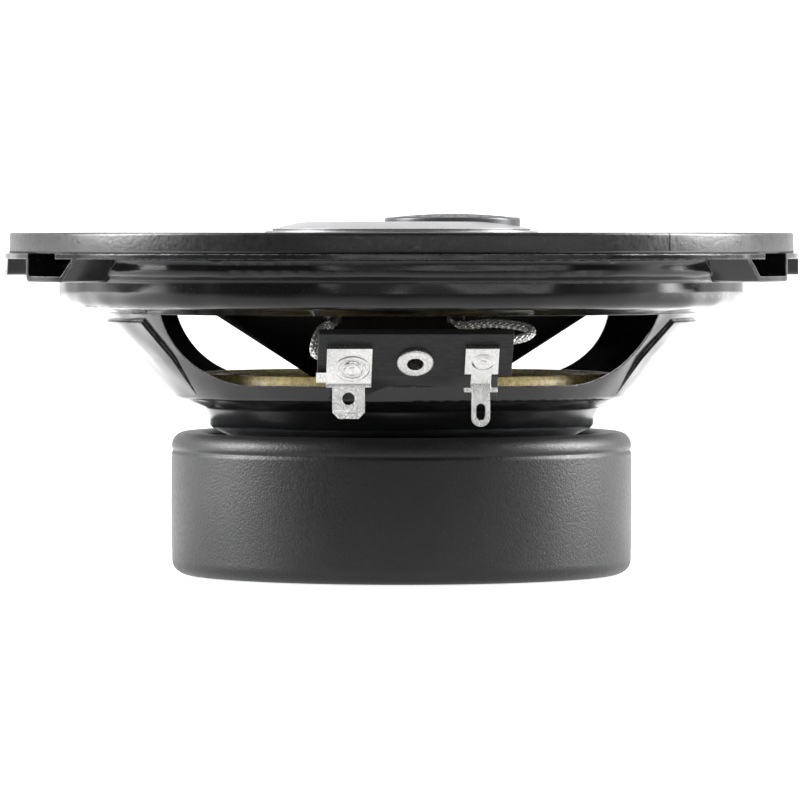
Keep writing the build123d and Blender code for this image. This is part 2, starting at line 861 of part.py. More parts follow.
with BuildPart() as pod_cover:
    with BuildSketch(Plane.XZ):
        with BuildLine():
            dome = FilletPolyline(
                (0, cover_top),
                (cover_shoulder_radius, cover_top),
                (cover_rim_radius, cover_rim_low),
                radius=cover_round,
            )
            Polyline(
                dome @ 1,
                (pod_inner, cover_rim_low),
                (pod_inner, cover_skirt_low),
                (pod_inner - cover_wall, cover_skirt_low),
                (pod_inner - cover_wall, cover_rim_low - 0.6 * cover_wall),
                (cover_shoulder_radius, cover_top - cover_wall),
                (0, cover_top - cover_wall),
                dome @ 0,
            )
        make_face()
    revolve(axis=Axis.Z)
    with BuildSketch(Plane.XY.offset(cover_skirt_low)):
        with Locations((tweeter_x, 0)):
            Circle(tweeter_radius)
        with Locations((super_x, 0)):
            Circle(super_radius)
    extrude(amount=cover_top, mode=Mode.SUBTRACT)
save(pod_cover, "pod_cover")

# Tweeter, drawn on its own axis
tweeter_plane = Plane(origin=(tweeter_x, 0, 0), x_dir=(1, 0, 0), z_dir=(0, -1, 0))
tweeter_axis = Axis((tweeter_x, 0, 0), (0, 0, 1))
tweeter_base_top = tweeter_base_low + tweeter_base_height
dome_low = tweeter_coil_low + tweeter_coil_height
yoke_floor = tweeter_yoke_low + tweeter_yoke_wall
with BuildPart() as tweeter_housing:
    with BuildSketch(tweeter_plane):
        with BuildLine():
            Polyline(
                (tweeter_base_bore, tweeter_base_low),
                (tweeter_radius, tweeter_base_low),
                (tweeter_radius, tweeter_top),
                (tweeter_radius - tweeter_ring_wall, tweeter_top),
                (tweeter_radius - tweeter_ring_wall, tweeter_base_top),
                (tweeter_base_bore, tweeter_base_top),
                close=True,
            )
        make_face()
    revolve(axis=tweeter_axis)
    outer_rim = tweeter_housing.edges().filter_by(GeomType.CIRCLE).group_by(Axis.Z)[-1]
    fillet(outer_rim.sort_by(SortBy.RADIUS)[-1], 0.4)
save(tweeter_housing, "tweeter_housing")

guard_radius = tweeter_radius - tweeter_ring_wall
guard_edge = tweeter_top - tweeter_guard_wall
with BuildPart() as tweeter_grille:
    with BuildSketch(tweeter_plane):
        with BuildLine():
            low = ThreePointArc(
                (-guard_radius, guard_edge),
                (0, guard_edge + tweeter_guard_crown),
                (guard_radius, guard_edge),
            )
            high = ThreePointArc(
                (-guard_radius, guard_edge + tweeter_guard_wall),
                (0, guard_edge + tweeter_guard_crown + tweeter_guard_wall),
                (guard_radius, guard_edge + tweeter_guard_wall),
            )
            Line(low @ 0, high @ 0)
            Line(low @ 1, high @ 1)
        make_face()
        with Locations((-guard_radius, tweeter_top)):
            Rectangle(guard_radius, 4 * tweeter_guard_crown, align=(Align.MIN, Align.CENTER),
                      mode=Mode.SUBTRACT)
    revolve(axis=tweeter_axis)
    with BuildSketch(Plane.XY.offset(tweeter_base_top)):
        with Locations((tweeter_x, 0)):
            Circle(tweeter_guard_hole)
            for ring in range(1, tweeter_guard_ring_count + 1):
                with PolarLocations(ring * tweeter_guard_pitch, 6 * ring):
                    Circle(tweeter_guard_hole)
    extrude(amount=tweeter_top, mode=Mode.SUBTRACT)
save(tweeter_grille, "tweeter_grille")

with BuildPart() as tweeter_dome:
    with BuildSketch(tweeter_plane):
        with BuildLine():
            crown = ThreePointArc(
                (-tweeter_coil_inner, dome_low + tweeter_film / 2),
                (0, dome_low + tweeter_dome_rise),
                (tweeter_coil_inner, dome_low + tweeter_film / 2),
            )
            Line(crown @ 1, (tweeter_dome_flange, dome_low + tweeter_film / 2))
        trace(line_width=tweeter_film)
        with Locations((0, dome_low)):
            Rectangle(2 * tweeter_radius, 3 * tweeter_dome_rise, align=(Align.MAX, Align.CENTER),
                      mode=Mode.SUBTRACT)
    revolve(axis=tweeter_axis)
save(tweeter_dome, "tweeter_dome")

lap = dome_low + 1.5 * tweeter_film
land = tweeter_base_top + tweeter_film / 2
with BuildPart() as tweeter_edge:
    with BuildSketch(tweeter_plane):
        with BuildLine():
            FilletPolyline(
                (tweeter_coil_outer, lap),
                (tweeter_roll_inner, lap),
                (tweeter_roll_inner + 0.5, lap + tweeter_roll_rise),
                (tweeter_roll_outer - 0.5, lap + tweeter_roll_rise),
                (tweeter_roll_outer, land),
                (tweeter_land_outer, land),
                radius=0.25,
            )
        trace(line_width=tweeter_film)
    revolve(axis=tweeter_axis)
save(tweeter_edge, "tweeter_edge")

with BuildPart() as tweeter_coil:
    with BuildSketch(Plane.XY.offset(tweeter_coil_low)):
        with Locations((tweeter_x, 0)):
            Circle(tweeter_coil_outer)
            Circle(tweeter_coil_inner, mode=Mode.SUBTRACT)
    extrude(amount=tweeter_coil_height)
save(tweeter_coil, "tweeter_coil")

with BuildPart() as tweeter_yoke:
    with BuildSketch(Plane.XY.offset(tweeter_yoke_low)):
        with Locations((tweeter_x, 0)):
            Circle(tweeter_yoke_radius)
    extrude(amount=tweeter_base_low - tweeter_yoke_low)
    with BuildSketch(Plane.XY.offset(yoke_floor)):
        with Locations((tweeter_x, 0)):
            Circle(tweeter_yoke_radius - tweeter_yoke_wall)
    extrude(amount=tweeter_base_low, mode=Mode.SUBTRACT)
save(tweeter_yoke, "tweeter_yoke")

with BuildPart() as tweeter_magnet:
    with BuildSketch(Plane.XY.offset(yoke_floor)):
        with Locations((tweeter_x, 0)):
            Circle(tweeter_magnet_radius)
    extrude(amount=tweeter_magnet_height)
save(tweeter_magnet, "tweeter_magnet")

with BuildPart() as tweeter_pole_plate:
    with BuildSketch(Plane.XY.offset(yoke_floor + tweeter_magnet_height)):
        with Locations((tweeter_x, 0)):
            Circle(tweeter_pole_radius)
    extrude(amount=tweeter_pole_height)
save(tweeter_pole_plate, "tweeter_pole_plate")

# Small flush tweeter: a cup with a guard and a disc on a ledge
super_inner = super_radius - super_wall
with BuildPart() as super_tweeter_housing:
    with BuildSketch(Plane.XY.offset(super_low)):
        with Locations((super_x, 0)):
            Circle(super_radius)
    extrude(amount=super_high - super_low)
    for low, high, radius in (
        (super_low + super_wall, super_disc_low, super_inner - super_ledge),
        (super_disc_low, super_guard_low, super_inner),
        (super_guard_low + super_wall, super_high, super_inner),
    ):
        with BuildSketch(Plane.XY.offset(low)):
            with Locations((super_x, 0)):
                Circle(radius)
        extrude(amount=high - low, mode=Mode.SUBTRACT)
    with BuildSketch(Plane.XY.offset(super_guard_low)):
        with Locations((super_x, 0)):
            Circle(super_guard_hole)
            with PolarLocations(super_guard_circle / 2, 6):
                Circle(super_guard_hole)
            with PolarLocations(super_guard_circle, 12):
                Circle(super_guard_hole)
    extrude(amount=super_wall, mode=Mode.SUBTRACT)
save(super_tweeter_housing, "super_tweeter_housing")

with BuildPart() as super_tweeter_disc:
    with BuildSketch(Plane.XY.offset(super_disc_low)):
        with Locations((super_x, 0)):
            Circle(super_inner)
    extrude(amount=super_disc_height)
save(super_tweeter_disc, "super_tweeter_disc")

# Capacitor glued against the tweeter yoke
capacitor_x = tweeter_x - tweeter_yoke_radius - capacitor_radius
with BuildPart() as crossover_capacitor:
    with BuildSketch(Plane.XZ.offset(-capacitor_length / 2)):
        with Locations((capacitor_x, capacitor_height)):
            Circle(capacitor_radius)
    extrude(amount=capacitor_length)
    fillet(crossover_capacitor.edges().filter_by(GeomType.CIRCLE), 0.4)
save(crossover_capacitor, "crossover_capacitor")

# Thin leads from the fronts of the cone eyelets up to the pod
for side, name in ((-1, "pod_lead_positive"), (1, "pod_lead_negative")):
    turn = math.radians(eyelet_middle_angle + side * eyelet_spread)
    tilt = math.radians(cone_tilt)
    reach = cone_wall / 2 + eyelet_seat + eyelet_height
    start_radius = eyelet_place_radius - reach * math.sin(tilt)
    start_height = eyelet_center + reach * math.cos(tilt)
    stub_radius = start_radius - pod_lead_stub * math.sin(tilt)
    stub_height = start_height + pod_lead_stub * math.cos(tilt)
    pod_under = pod_bowl_height - (pod_bowl_radius - pod_lead_reach) * 0.14
    with BuildPart() as pod_lead:
        with BuildLine():
            route = FilletPolyline(
                (start_radius * math.cos(turn), start_radius * math.sin(turn), start_height),
                (stub_radius * math.cos(turn), stub_radius * math.sin(turn), stub_height),
                (pod_lead_reach * math.cos(turn), pod_lead_reach * math.sin(turn),
                 pod_under - pod_lead_drop),
                (pod_lead_reach * math.cos(turn), pod_lead_reach * math.sin(turn), pod_under + 1),
                radius=0.9,
            )
        with BuildSketch(Plane(origin=route @ 0, z_dir=route % 0)):
            Circle(pod_lead_radius)
        sweep()
    save(pod_lead, name)
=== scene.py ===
import math

import bmesh
import bpy
import numpy as np
from bpy.props import FloatProperty, FloatVectorProperty, IntProperty, PointerProperty
from bpy.types import NodeSocket, Operator, Panel, PropertyGroup
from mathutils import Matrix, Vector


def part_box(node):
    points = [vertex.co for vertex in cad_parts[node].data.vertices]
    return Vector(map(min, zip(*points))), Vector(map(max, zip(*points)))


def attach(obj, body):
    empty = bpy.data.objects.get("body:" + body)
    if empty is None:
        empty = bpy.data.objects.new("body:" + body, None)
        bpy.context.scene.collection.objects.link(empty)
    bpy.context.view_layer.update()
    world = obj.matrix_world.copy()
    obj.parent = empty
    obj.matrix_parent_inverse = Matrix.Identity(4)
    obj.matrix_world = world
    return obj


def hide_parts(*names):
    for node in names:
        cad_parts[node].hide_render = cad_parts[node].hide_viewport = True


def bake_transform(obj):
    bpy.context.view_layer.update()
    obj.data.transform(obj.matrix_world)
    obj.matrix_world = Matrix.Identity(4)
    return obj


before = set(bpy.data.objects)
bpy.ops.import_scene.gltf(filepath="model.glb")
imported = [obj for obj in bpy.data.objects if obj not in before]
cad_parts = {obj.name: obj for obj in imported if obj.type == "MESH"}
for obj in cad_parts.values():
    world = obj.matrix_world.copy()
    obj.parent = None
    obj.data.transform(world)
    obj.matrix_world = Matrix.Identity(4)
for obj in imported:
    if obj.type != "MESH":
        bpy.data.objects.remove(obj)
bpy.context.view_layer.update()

bl_info = {
    "name": "Coaxial Car Speaker",
    "version": (1, 0, 0),
    "blender": (4, 5, 0),
    "location": "View3D > Sidebar > Speaker",
    "description": "Soft parts, leads, finishes and stage for a coaxial car speaker",
    "category": "Object",
}

MM = 0.001
FULL_TURN = 2 * math.pi
EAR_ANGLES = [math.radians(angle) for angle in (-26.0, -154.0, 26.0, 154.0)]
EAR_CIRCLE = 62.0 * MM
STRAND_WIDTH = 0.2 * MM
WINDING_PITCH = 0.18 * MM


# ---------------------------------------------------------------- sizes and colours


def colour(name, description, rgb):
    return FloatVectorProperty(name=name, description=description, subtype="COLOR", size=3,
                               min=0.0, max=1.0, default=rgb)


def length(name, description, value, low=0.0):
    return FloatProperty(name=name, description=description, unit="LENGTH", subtype="DISTANCE",
                         min=low * MM, default=value * MM, precision=5)


def count(name, description, value, low, high):
    return IntProperty(name=name, description=description, min=low, max=high, default=value)


def amount(name, description, value, **limits):
    return FloatProperty(name=name, description=description, default=value, **limits)


class SpeakerSizes(PropertyGroup):
    roll_inner: length("Roll inner radius", "Where the surround's roll leaves the cone", 47.8)
    roll_outer: length("Roll outer radius", "Where the surround's roll meets the flange", 57.0)
    roll_rise: length("Roll rise", "Height of the roll over the flange, to its middle", 2.35)
    surround_wall: length("Surround thickness", "Thickness of the surround", 0.5)
    spider_wall: length("Spider thickness", "Thickness of the spider's cloth", 0.4)
    spider_wave: length("Spider wave", "Half the height of one spider wave", 0.7)
    spider_count: count("Spider waves", "Waves from the coil to the rim", 5, 2, 9)
    thread_count: count("Threads", "Threads round the spider", 420, 60, 900)
    thread_rows: count("Thread rows", "Threads over the spider's front and back", 170, 20, 400)
    gasket_round: length("Gasket edge", "Rounding of the gasket's upper edges", 0.55)
    braid_radius: length("Lead radius", "Outer radius of a braided lead", 0.8)
    braid_turn: length("Braid turn", "Length of one full turn of a strand", 6.4)
    braid_strands: count("Strands", "Strands in each direction", 6, 4, 12)
    thin_radius: length("Thin lead radius", "Outer radius of a lead to the pod", 0.4)
    tweeter_film: length("Tweeter film", "Thickness of the tweeter's edge", 0.2)
    tweeter_roll_inner: length("Tweeter roll inner radius", "Where its edge starts to rise", 6.8)
    tweeter_roll_outer: length("Tweeter roll outer radius", "Where its edge comes down", 8.7)


class SpeakerColours(PropertyGroup):
    paint: colour("Basket paint", "Gloss paint of the basket", (0.0075, 0.0078, 0.0085))
    cover: colour("Motor cover", "Moulded rubber of the motor cover", (0.013, 0.0135, 0.0145))
    gasket: colour("Gasket", "Strip on the flange", (0.012, 0.0122, 0.013))
    surround: colour("Surround", "Roll between cone and flange", (0.011, 0.011, 0.012))
    cone: colour("Cone", "Coated paper of the cone", (0.0085, 0.0085, 0.009))
    cloth: colour("Spider", "Resin dipped cloth", (0.92, 0.66, 0.26))
    resin: colour("Resin", "Glue at the spider's rim and collar", (0.13, 0.045, 0.012))
    board: colour("Terminal board", "Laminated fibre board", (0.027, 0.0275, 0.029))
    tin: colour("Tin plate", "Plating of the terminals and rivets", (0.78, 0.775, 0.76))
    zinc: colour("Zinc plate", "Plating of the motor steel", (0.55, 0.56, 0.57))
    silver: colour("Pod", "Satin silver of the pod", (0.33, 0.33, 0.335))
    capsule: colour("Capsule", "Ring and guard of the tweeter", (0.04, 0.041, 0.044))
    copper: colour("Copper wire", "Enamelled winding", (0.55, 0.2, 0.07))


class SpeakerStage(PropertyGroup):
    camera_distance: length("Camera distance", "From the speaker's axis", 1000.0, 300.0)
    camera_height: length("Camera height", "Above the floor", 56.2)
    camera_turn: FloatProperty(name="Camera turn", description="Round the axis, from the front",
                               subtype="ANGLE", default=math.radians(2.7))
    look_height: length("Look height", "Height of the point looked at", 28.8)
    look_aside: amount("Look aside", "Distance of that point from the axis", -0.25 * MM,
                       unit="LENGTH", subtype="DISTANCE", precision=5)
    lens: amount("Focal length", "Of the camera, in millimetres", 270.0, min=20.0)
    side_power: amount("Side lamps", "Watts of the side lamps, before each one's share", 13.0,
                       min=0.0)
    top_power: amount("Top lamp", "Watts of the lamp overhead", 1.3, min=0.0)
    front_power: amount("Front card", "Watts of the dim card in front", 2.6, min=0.0)
    room: amount("Room light", "Brightness of the room round the stage", 0.06, min=0.0, max=1.0)


# ---------------------------------------------------------------- surfaces


def grid_part(points, across, along, closed_across=False, closed_along=False, caps=False):
    """The points, quads, caps and UV corners of a grid, whose UV map holds its two parameters.

    points has shape (n, m, 3). The cell (i, j) is the square of points i, i+1 and j, j+1, taken
    round again past the end where the grid is closed. across and along are the parameters at the
    grid's lines, one more than the points where it is closed. With caps, the first and last rows
    are filled by one face each.
    """
    n, m = points.shape[:2]
    rows = np.arange(n if closed_across else n - 1)
    columns = np.arange(m if closed_along else m - 1)
    i, j = (index.ravel() for index in np.meshgrid(rows, columns, indexing="ij"))
    i_next, j_next = (i + 1) % n, (j + 1) % m
    quads = np.stack([i * m + j, i_next * m + j, i_next * m + j_next, i * m + j_next], axis=1)
    u = np.stack([across[i], across[i + 1], across[i + 1], across[i]], axis=1).ravel()
    v = np.stack([along[j], along[j], along[j + 1], along[j + 1]], axis=1).ravel()
    ends = []
    if caps:
        first = np.arange(m)
        ends = [first, (n - 1) * m + first[::-1]]
        u = np.concatenate([u, np.full(m, across[0]), np.full(m, across[-1])])
        v = np.concatenate([v, along[:m], along[:m][::-1]])
    return points.reshape(-1, 3), quads, ends, np.stack([u, v], axis=1)


def join_parts(name, parts):
    """One smooth mesh from the parts of several grids."""
    faces, base = [], 0
    for places, quads, ends, _ in parts:
        faces += (quads + base).tolist() + [(end + base).tolist() for end in ends]
        base += len(places)
    mesh = bpy.data.meshes.new(name)
    mesh.from_pydata(np.concatenate([part[0] for part in parts]).tolist(), [], faces)
    corners = np.concatenate([part[3] for part in parts]).astype(np.float32)
    mesh.uv_layers.new(name="surface").data.foreach_set("uv", corners.ravel())
    mesh.polygons.foreach_set("use_smooth", np.ones(len(mesh.polygons), bool))
    mesh.update()
    return mesh


def join_tubes(name, grids, cut):
    """One mesh from several closed tubes, each a grid of (length, round) points with capped ends.

    The UV map holds the length along the route, in strand widths, and the place round the strand.
    """
    return join_parts(name, [
        grid_part(points, cut / STRAND_WIDTH, np.linspace(0.0, 1.0, points.shape[1] + 1),
                  closed_along=True, caps=True) for points in grids])


def place(name, mesh, finish_name):
    """A new object for a mesh, in the scene, with one finish."""
    piece = bpy.data.objects.new(name, mesh)
    bpy.context.scene.collection.objects.link(piece)
    mesh.materials.clear()
    mesh.materials.append(finish(finish_name))
    return piece


def get_places(mesh):
    """Where a mesh's points are, one row each."""
    raw = np.zeros(len(mesh.vertices) * 3)
    mesh.vertices.foreach_get("co", raw)
    return raw.reshape(-1, 3)


def set_places(mesh, places):
    mesh.vertices.foreach_set("co", places.ravel())
    mesh.update()


def distances(mesh):
    """How far each point of a mesh is from the Z axis."""
    return np.hypot(*get_places(mesh)[:, :2].T)


def unit(vectors):
    return vectors / np.linalg.norm(vectors, axis=-1, keepdims=True)


def angles_round(steps):
    """Equal angles round a full turn."""
    return np.linspace(0.0, FULL_TURN, steps + 1)[:-1]


def quarter(centre, radius, start, steps):
    """A quarter of a circle, from the given number of quarter turns."""
    turn = (start + np.linspace(0.0, 1.0, steps)) * math.pi / 2
    return centre + radius * np.stack([np.cos(turn), np.sin(turn)], axis=1)


def level_line(start, end, height, steps):
    """A straight run of (radius, height) at one height."""
    return np.stack([np.linspace(start, end, steps), np.full(steps, height)], axis=1)


def bezier(start, leave, arrive, end):
    """The inner points of a cubic curve: with s from 0 to 1, the weights of the four points are
    (1-s)^3, 3(1-s)^2 s, 3(1-s) s^2 and s^3."""
    s = np.linspace(0.0, 1.0, 10)[1:-1, None]
    start, leave, arrive, end = (np.asarray(point) for point in (start, leave, arrive, end))
    return ((1 - s) ** 3 * start + 3 * (1 - s) ** 2 * s * leave + 3 * (1 - s) * s**2 * arrive
            + s**3 * end)


def turn_profile(name, profile, steps, start=0.0, sweep=FULL_TURN):
    """A closed profile of (radius, height) carried round the Z axis.

    Point (a, p) is (r_p cos a, r_p sin a, z_p). A full turn is closed on itself, and a shorter
    one has a face at each end.
    """
    full = sweep == FULL_TURN
    angles = start + np.linspace(0.0, sweep, steps + 1)
    used = (angles[:-1] if full else angles)[:, None]
    radius, height = profile.T
    points = np.stack(np.broadcast_arrays(np.cos(used) * radius, np.sin(used) * radius, height),
                      axis=-1)
    run = np.linspace(0.0, 1.0, len(profile) + 1)
    return join_parts(name, [grid_part(points, (angles - start) / FULL_TURN, run,
                                       closed_across=full, closed_along=True, caps=not full)])


def thick_line(middle, wall):
    """The closed outline of a sheet from its middle line: half the wall off each side of the line,
    along the normals, with a half round at each end."""
    step = unit(np.gradient(middle, axis=0))
    normal = np.stack([-step[:, 1], step[:, 0]], axis=1)
    half = wall / 2
    turn = np.linspace(0.0, math.pi, 7)[1:-1, None]
    start_cap = middle[0] - half * (np.cos(turn) * normal[0] + np.sin(turn) * step[0])
    end_cap = middle[-1] + half * (np.cos(turn) * normal[-1] + np.sin(turn) * step[-1])
    back = (middle - half * normal)[::-1]
    return np.concatenate([middle + half * normal, end_cap, back, start_cap])


def round_corners(corners, radii, steps=7):
    """A closed outline whose corners are arcs: each corner is left by its radius before and after,
    and the quadratic curve between those two points stands for the arc."""
    corners = np.asarray(corners, float)
    radii = np.asarray(radii, float)[:, None]
    leave, join = (corners + unit(np.roll(corners, way, axis=0) - corners) * radii
                   for way in (1, -1))
    t = np.linspace(0.0, 1.0, steps)[None, :, None]
    curve = ((1 - t) ** 2 * leave[:, None] + 2 * t * (1 - t) * corners[:, None]
             + t**2 * join[:, None])
    return curve.reshape(-1, 2)


def follow_route(name, corners, spacing):
    """Points and frames along the smooth line of a route.

    The line is a NURBS spline of order 3 with the route's points as its control points. It is cut
    at equal lengths, and the frame at each cut is the one before it turned by the least angle.
    """
    curve = bpy.data.curves.new(name, "CURVE")
    curve.dimensions = "3D"
    curve.resolution_u = 24
    spline = curve.splines.new("NURBS")
    spline.points.add(len(corners) - 1)
    controls = np.concatenate([np.asarray(corners, float) * MM, np.ones((len(corners), 1))], axis=1)
    spline.points.foreach_set("co", controls.ravel().tolist())
    spline.order_u = 3
    spline.use_endpoint_u = True
    holder = bpy.data.objects.new(name, curve)
    bpy.context.scene.collection.objects.link(holder)
    line = bpy.data.meshes.new_from_object(holder)
    raw = get_places(line)
    bpy.data.objects.remove(holder)
    bpy.data.curves.remove(curve)
    bpy.data.meshes.remove(line)
    run = np.concatenate([[0.0], np.cumsum(np.linalg.norm(np.diff(raw, axis=0), axis=1))])
    cut = np.linspace(0.0, run[-1], max(8, int(round(run[-1] / spacing))) + 1)
    middle = np.stack([np.interp(cut, run, raw[:, k]) for k in range(3)], axis=1)
    ahead = unit(np.gradient(middle, axis=0))
    side = np.empty_like(middle)
    side[0] = unit(np.cross(ahead[0], (0.3, 0.2, 0.9)))
    for k in range(1, len(middle)):
        side[k] = unit(side[k - 1] - ahead[k] * np.dot(side[k - 1], ahead[k]))
    return middle, side, np.cross(ahead, side), cut


def wound_strand(route, off, angle, sides, thickness, flatten=1.0):
    """One strand laid round a route.

    At each cut the strand's middle stands off the route by the given distance and angle. Its own
    section is an ellipse of the given half thickness, flattened along that direction.
    """
    middle, side, up, _ = route
    angle = np.reshape(angle, (-1, 1))
    out = np.cos(angle) * side + np.sin(angle) * up
    line = middle + np.reshape(off, (-1, 1)) * out
    ahead = unit(np.gradient(line, axis=0))
    level = unit(out - ahead * np.sum(out * ahead, axis=1)[:, None])
    flank = np.cross(ahead, level)
    turn = angles_round(sides)[None, :, None]
    return (line[:, None] + thickness * flatten * np.cos(turn) * level[:, None]
            + thickness * np.sin(turn) * flank[:, None])


def give_way(piece, share):
    """Lay a piece's points out on a line by a share per point, 0 on the frame and 1 on the body,
    bake the object's transform, and then put the points back.
    """
    places = get_places(piece.data)
    laid = np.zeros_like(places)
    laid[:, 0] = np.clip(share, 0.0, 1.0)
    set_places(piece.data, laid)
    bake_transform(piece)
    set_places(piece.data, places)


def cut_holes(piece, radius, angles, low, high):
    """Take round holes out of a piece, at the given angles on the ears' circle, with one cutter."""
    turn = angles_round(32)
    grids = []
    for angle in angles:
        x = EAR_CIRCLE * math.cos(angle) + radius * np.cos(turn)
        y = EAR_CIRCLE * math.sin(angle) + radius * np.sin(turn)
        grids.append(np.stack([np.stack([x, y, np.full_like(x, z)], axis=1) for z in (high, low)]))
    tool = bpy.data.objects.new("hole_tool", join_tubes("hole_tool", grids, np.array([0.0, 1.0])))
    bpy.context.scene.collection.objects.link(tool)
    cut = piece.modifiers.new("holes", "BOOLEAN")
    cut.operation = "DIFFERENCE"
    cut.solver = "EXACT"
    cut.object = tool
    bpy.context.view_layer.update()
    graph = bpy.context.evaluated_depsgraph_get()
    made = bpy.data.meshes.new_from_object(piece.evaluated_get(graph))
    piece.modifiers.clear()
    piece.data = made
    bpy.data.objects.remove(tool)


# ---------------------------------------------------------------- shader groups


class Shader:
    """A node tree being built. Each method adds a node and gives back what it puts out."""

    def __init__(self, tree):
        self.tree = tree

    def feed(self, socket, value):
        """Link a socket to another, or set its value."""
        if isinstance(value, NodeSocket):
            self.tree.links.new(value, socket)
        else:
            socket.default_value = value

    def add(self, kind, settings=None, **inputs):
        """A node's outputs. Inputs are given by name, with _ for a space, or as i0, i1 by place."""
        made = self.tree.nodes.new("ShaderNode" + kind)
        for key, value in (settings or {}).items():
            setattr(made, key, value)
        for key, value in inputs.items():
            by_place = key[0] == "i" and key[1:].isdigit()
            self.feed(made.inputs[int(key[1:]) if by_place else key.replace("_", " ")], value)
        return made.outputs

    def calc(self, operation, *values):
        return self.add("Math", {"operation": operation},
                        **{f"i{k}": value for k, value in enumerate(values)})[0]

    def times(self, one, other):
        return self.calc("MULTIPLY", one, other)

    def wave(self, value, rate):
        return self.calc("SINE", self.times(value, rate))

    def stretch(self, value, low, high, to_low=0.0, to_high=1.0, smooth=False):
        """A value carried from one range to another, and held at its ends."""
        return self.add("MapRange", {"interpolation_type": "SMOOTHSTEP" if smooth else "LINEAR"},
                        i0=value, i1=low, i2=high, i3=to_low, i4=to_high)[0]

    def noise(self, at, scale, detail, **more):
        return self.add("TexNoise", Vector=at, Scale=scale, Detail=detail, **more)["Fac"]

    def at(self):
        return self.add("TexCoord")["Object"]

    def split(self, vector):
        return self.add("SeparateXYZ", Vector=vector)

    def surface(self):
        """The surface's own two parameters, as X and Y."""
        return self.split(self.add("UVMap", {"uv_map": "surface"})["UV"])

    def mix(self, share, low, high):
        """A colour between two, by a share that changes over the surface."""
        ends = [end if isinstance(end, NodeSocket) else (*end, 1.0) for end in (low, high)]
        return self.add("Mix", {"data_type": "RGBA"}, i0=share, i6=ends[0], i7=ends[1])[2]

    def group(self, name, **inputs):
        """One of the shared groups, with its own values here."""
        return self.add("Group", {"node_tree": shared_group(name)}, **inputs)


def grain_group(shader, scale):
    """Grain: noise in object space plus the same noise three and a half times finer at half
    strength. Patch is noise a fifteenth as fine, for slow changes of tint."""
    at = shader.at()
    coarse = shader.noise(at, scale, 3.0)
    fine = shader.noise(at, shader.times(scale, 3.5), 1.0)
    patch = shader.noise(at, shader.times(scale, 1 / 15), 4.0, Roughness=0.62)
    both = shader.calc("MULTIPLY_ADD", fine, 0.5, coarse)
    return [shader.times(both, 0.667), shader.stretch(patch, 0.3, 0.7)]


def pebble_group(shader, scale, uneven):
    """Pebble: rounded cells, as in moulded stipple or foam skin. The height is one less the
    squared distance to the cell's middle, broken up by a little noise."""
    at = shader.at()
    cell = shader.add("TexVoronoi", {"feature": "SMOOTH_F1"}, Vector=at, Scale=scale,
                      Smoothness=0.6, Randomness=1.0)["Distance"]
    round_top = shader.calc("SUBTRACT", 1.0, shader.times(cell, cell))
    return [shader.calc("MULTIPLY_ADD", shader.noise(at, scale, 2.0), uneven, round_top)]


def weave_group(shader, threads_u, threads_v):
    """Weave: with u and v counted in threads, the warp stands over the weft where
    sin(pi u) sin(pi v) is positive, and each thread is round, the absolute sine across it.
    Gap is high in the small holes between threads."""
    split = shader.surface()
    wave_u = shader.wave(shader.times(split["X"], threads_u), math.pi)
    wave_v = shader.wave(shader.times(split["Y"], threads_v), math.pi)
    over = shader.stretch(shader.times(wave_u, wave_v), -0.4, 0.4, smooth=True)
    under = shader.calc("SUBTRACT", 1.0, over)
    thread_u, thread_v = (shader.calc("ABSOLUTE", wave) for wave in (wave_u, wave_v))
    warp, weft = (shader.times(thread, shader.calc("MULTIPLY_ADD", share, 0.5, 0.5))
                  for thread, share in ((thread_u, over), (thread_v, under)))
    widest = shader.calc("MAXIMUM", thread_u, thread_v)
    return [shader.calc("MAXIMUM", warp, weft), shader.stretch(widest, 0.25, 0.6, 1.0, 0.0)]


def dust_group(shader, scale, share):
    """Dust: sparse fine specks, thicker on faces that look up. Mask is a thresholded fine noise
    times a thresholded slow noise and the upward part of the surface normal."""
    at = shader.at()
    speck = shader.stretch(shader.noise(at, scale, 2.0), 0.6, 0.75)
    cloud = shader.stretch(shader.noise(at, 70.0, 3.0), 0.35, 0.65)
    up = shader.split(shader.add("NewGeometry")["Normal"])["Z"]
    level = shader.stretch(up, -0.2, 0.9, 0.12, 1.0)
    return [shader.times(shader.times(shader.times(speck, cloud), level), share)]


def turned_group(shader, scale):
    """Turning marks: rings about the Z axis, as noise of the distance from it and the height."""
    at = shader.split(shader.at())
    square = shader.calc("MULTIPLY_ADD", at["X"], at["X"], shader.times(at["Y"], at["Y"]))
    line = shader.add("CombineXYZ", X=shader.calc("POWER", square, 0.5), Y=at["Z"])[0]
    return [shader.noise(line, scale, 2.0)]


def edge_group(shader, radius, scale):
    """Worn and lit edges: Mask is one less how far the normal agrees with the normal rounded over a
    small radius, broken up by noise; it marks edges both for wear and for painted highlight. Normal
    is the rounded one, so that an edge catches the light."""
    rounded = shader.add("Bevel", {"samples": 4}, Radius=radius)["Normal"]
    plain = shader.add("NewGeometry")["Normal"]
    agree = shader.add("VectorMath", {"operation": "DOT_PRODUCT"}, i0=rounded, i1=plain)["Value"]
    chips = shader.noise(shader.at(), scale, 5.0, Roughness=0.7)
    edge = shader.stretch(agree, 0.97, 0.82)
    return [shader.times(edge, shader.stretch(chips, 0.4, 0.58)), rounded]


GROUP_MAKERS = {
    "grain": (grain_group, {"Scale": 900.0}, ("Grain", "Patch")),
    "pebble": (pebble_group, {"Scale": 1600.0, "Uneven": 0.3}, ("Height",)),
    "weave": (weave_group, {"Threads U": 400.0, "Threads V": 60.0}, ("Height", "Gap")),
    "dust": (dust_group, {"Scale": 1500.0, "Amount": 0.5}, ("Mask",)),
    "turned": (turned_group, {"Scale": 2500.0}, ("Rings",)),
    "edge": (edge_group, {"Radius": 0.0003, "Scale": 900.0}, ("Mask", "Normal")),
}
GROUPS = {}


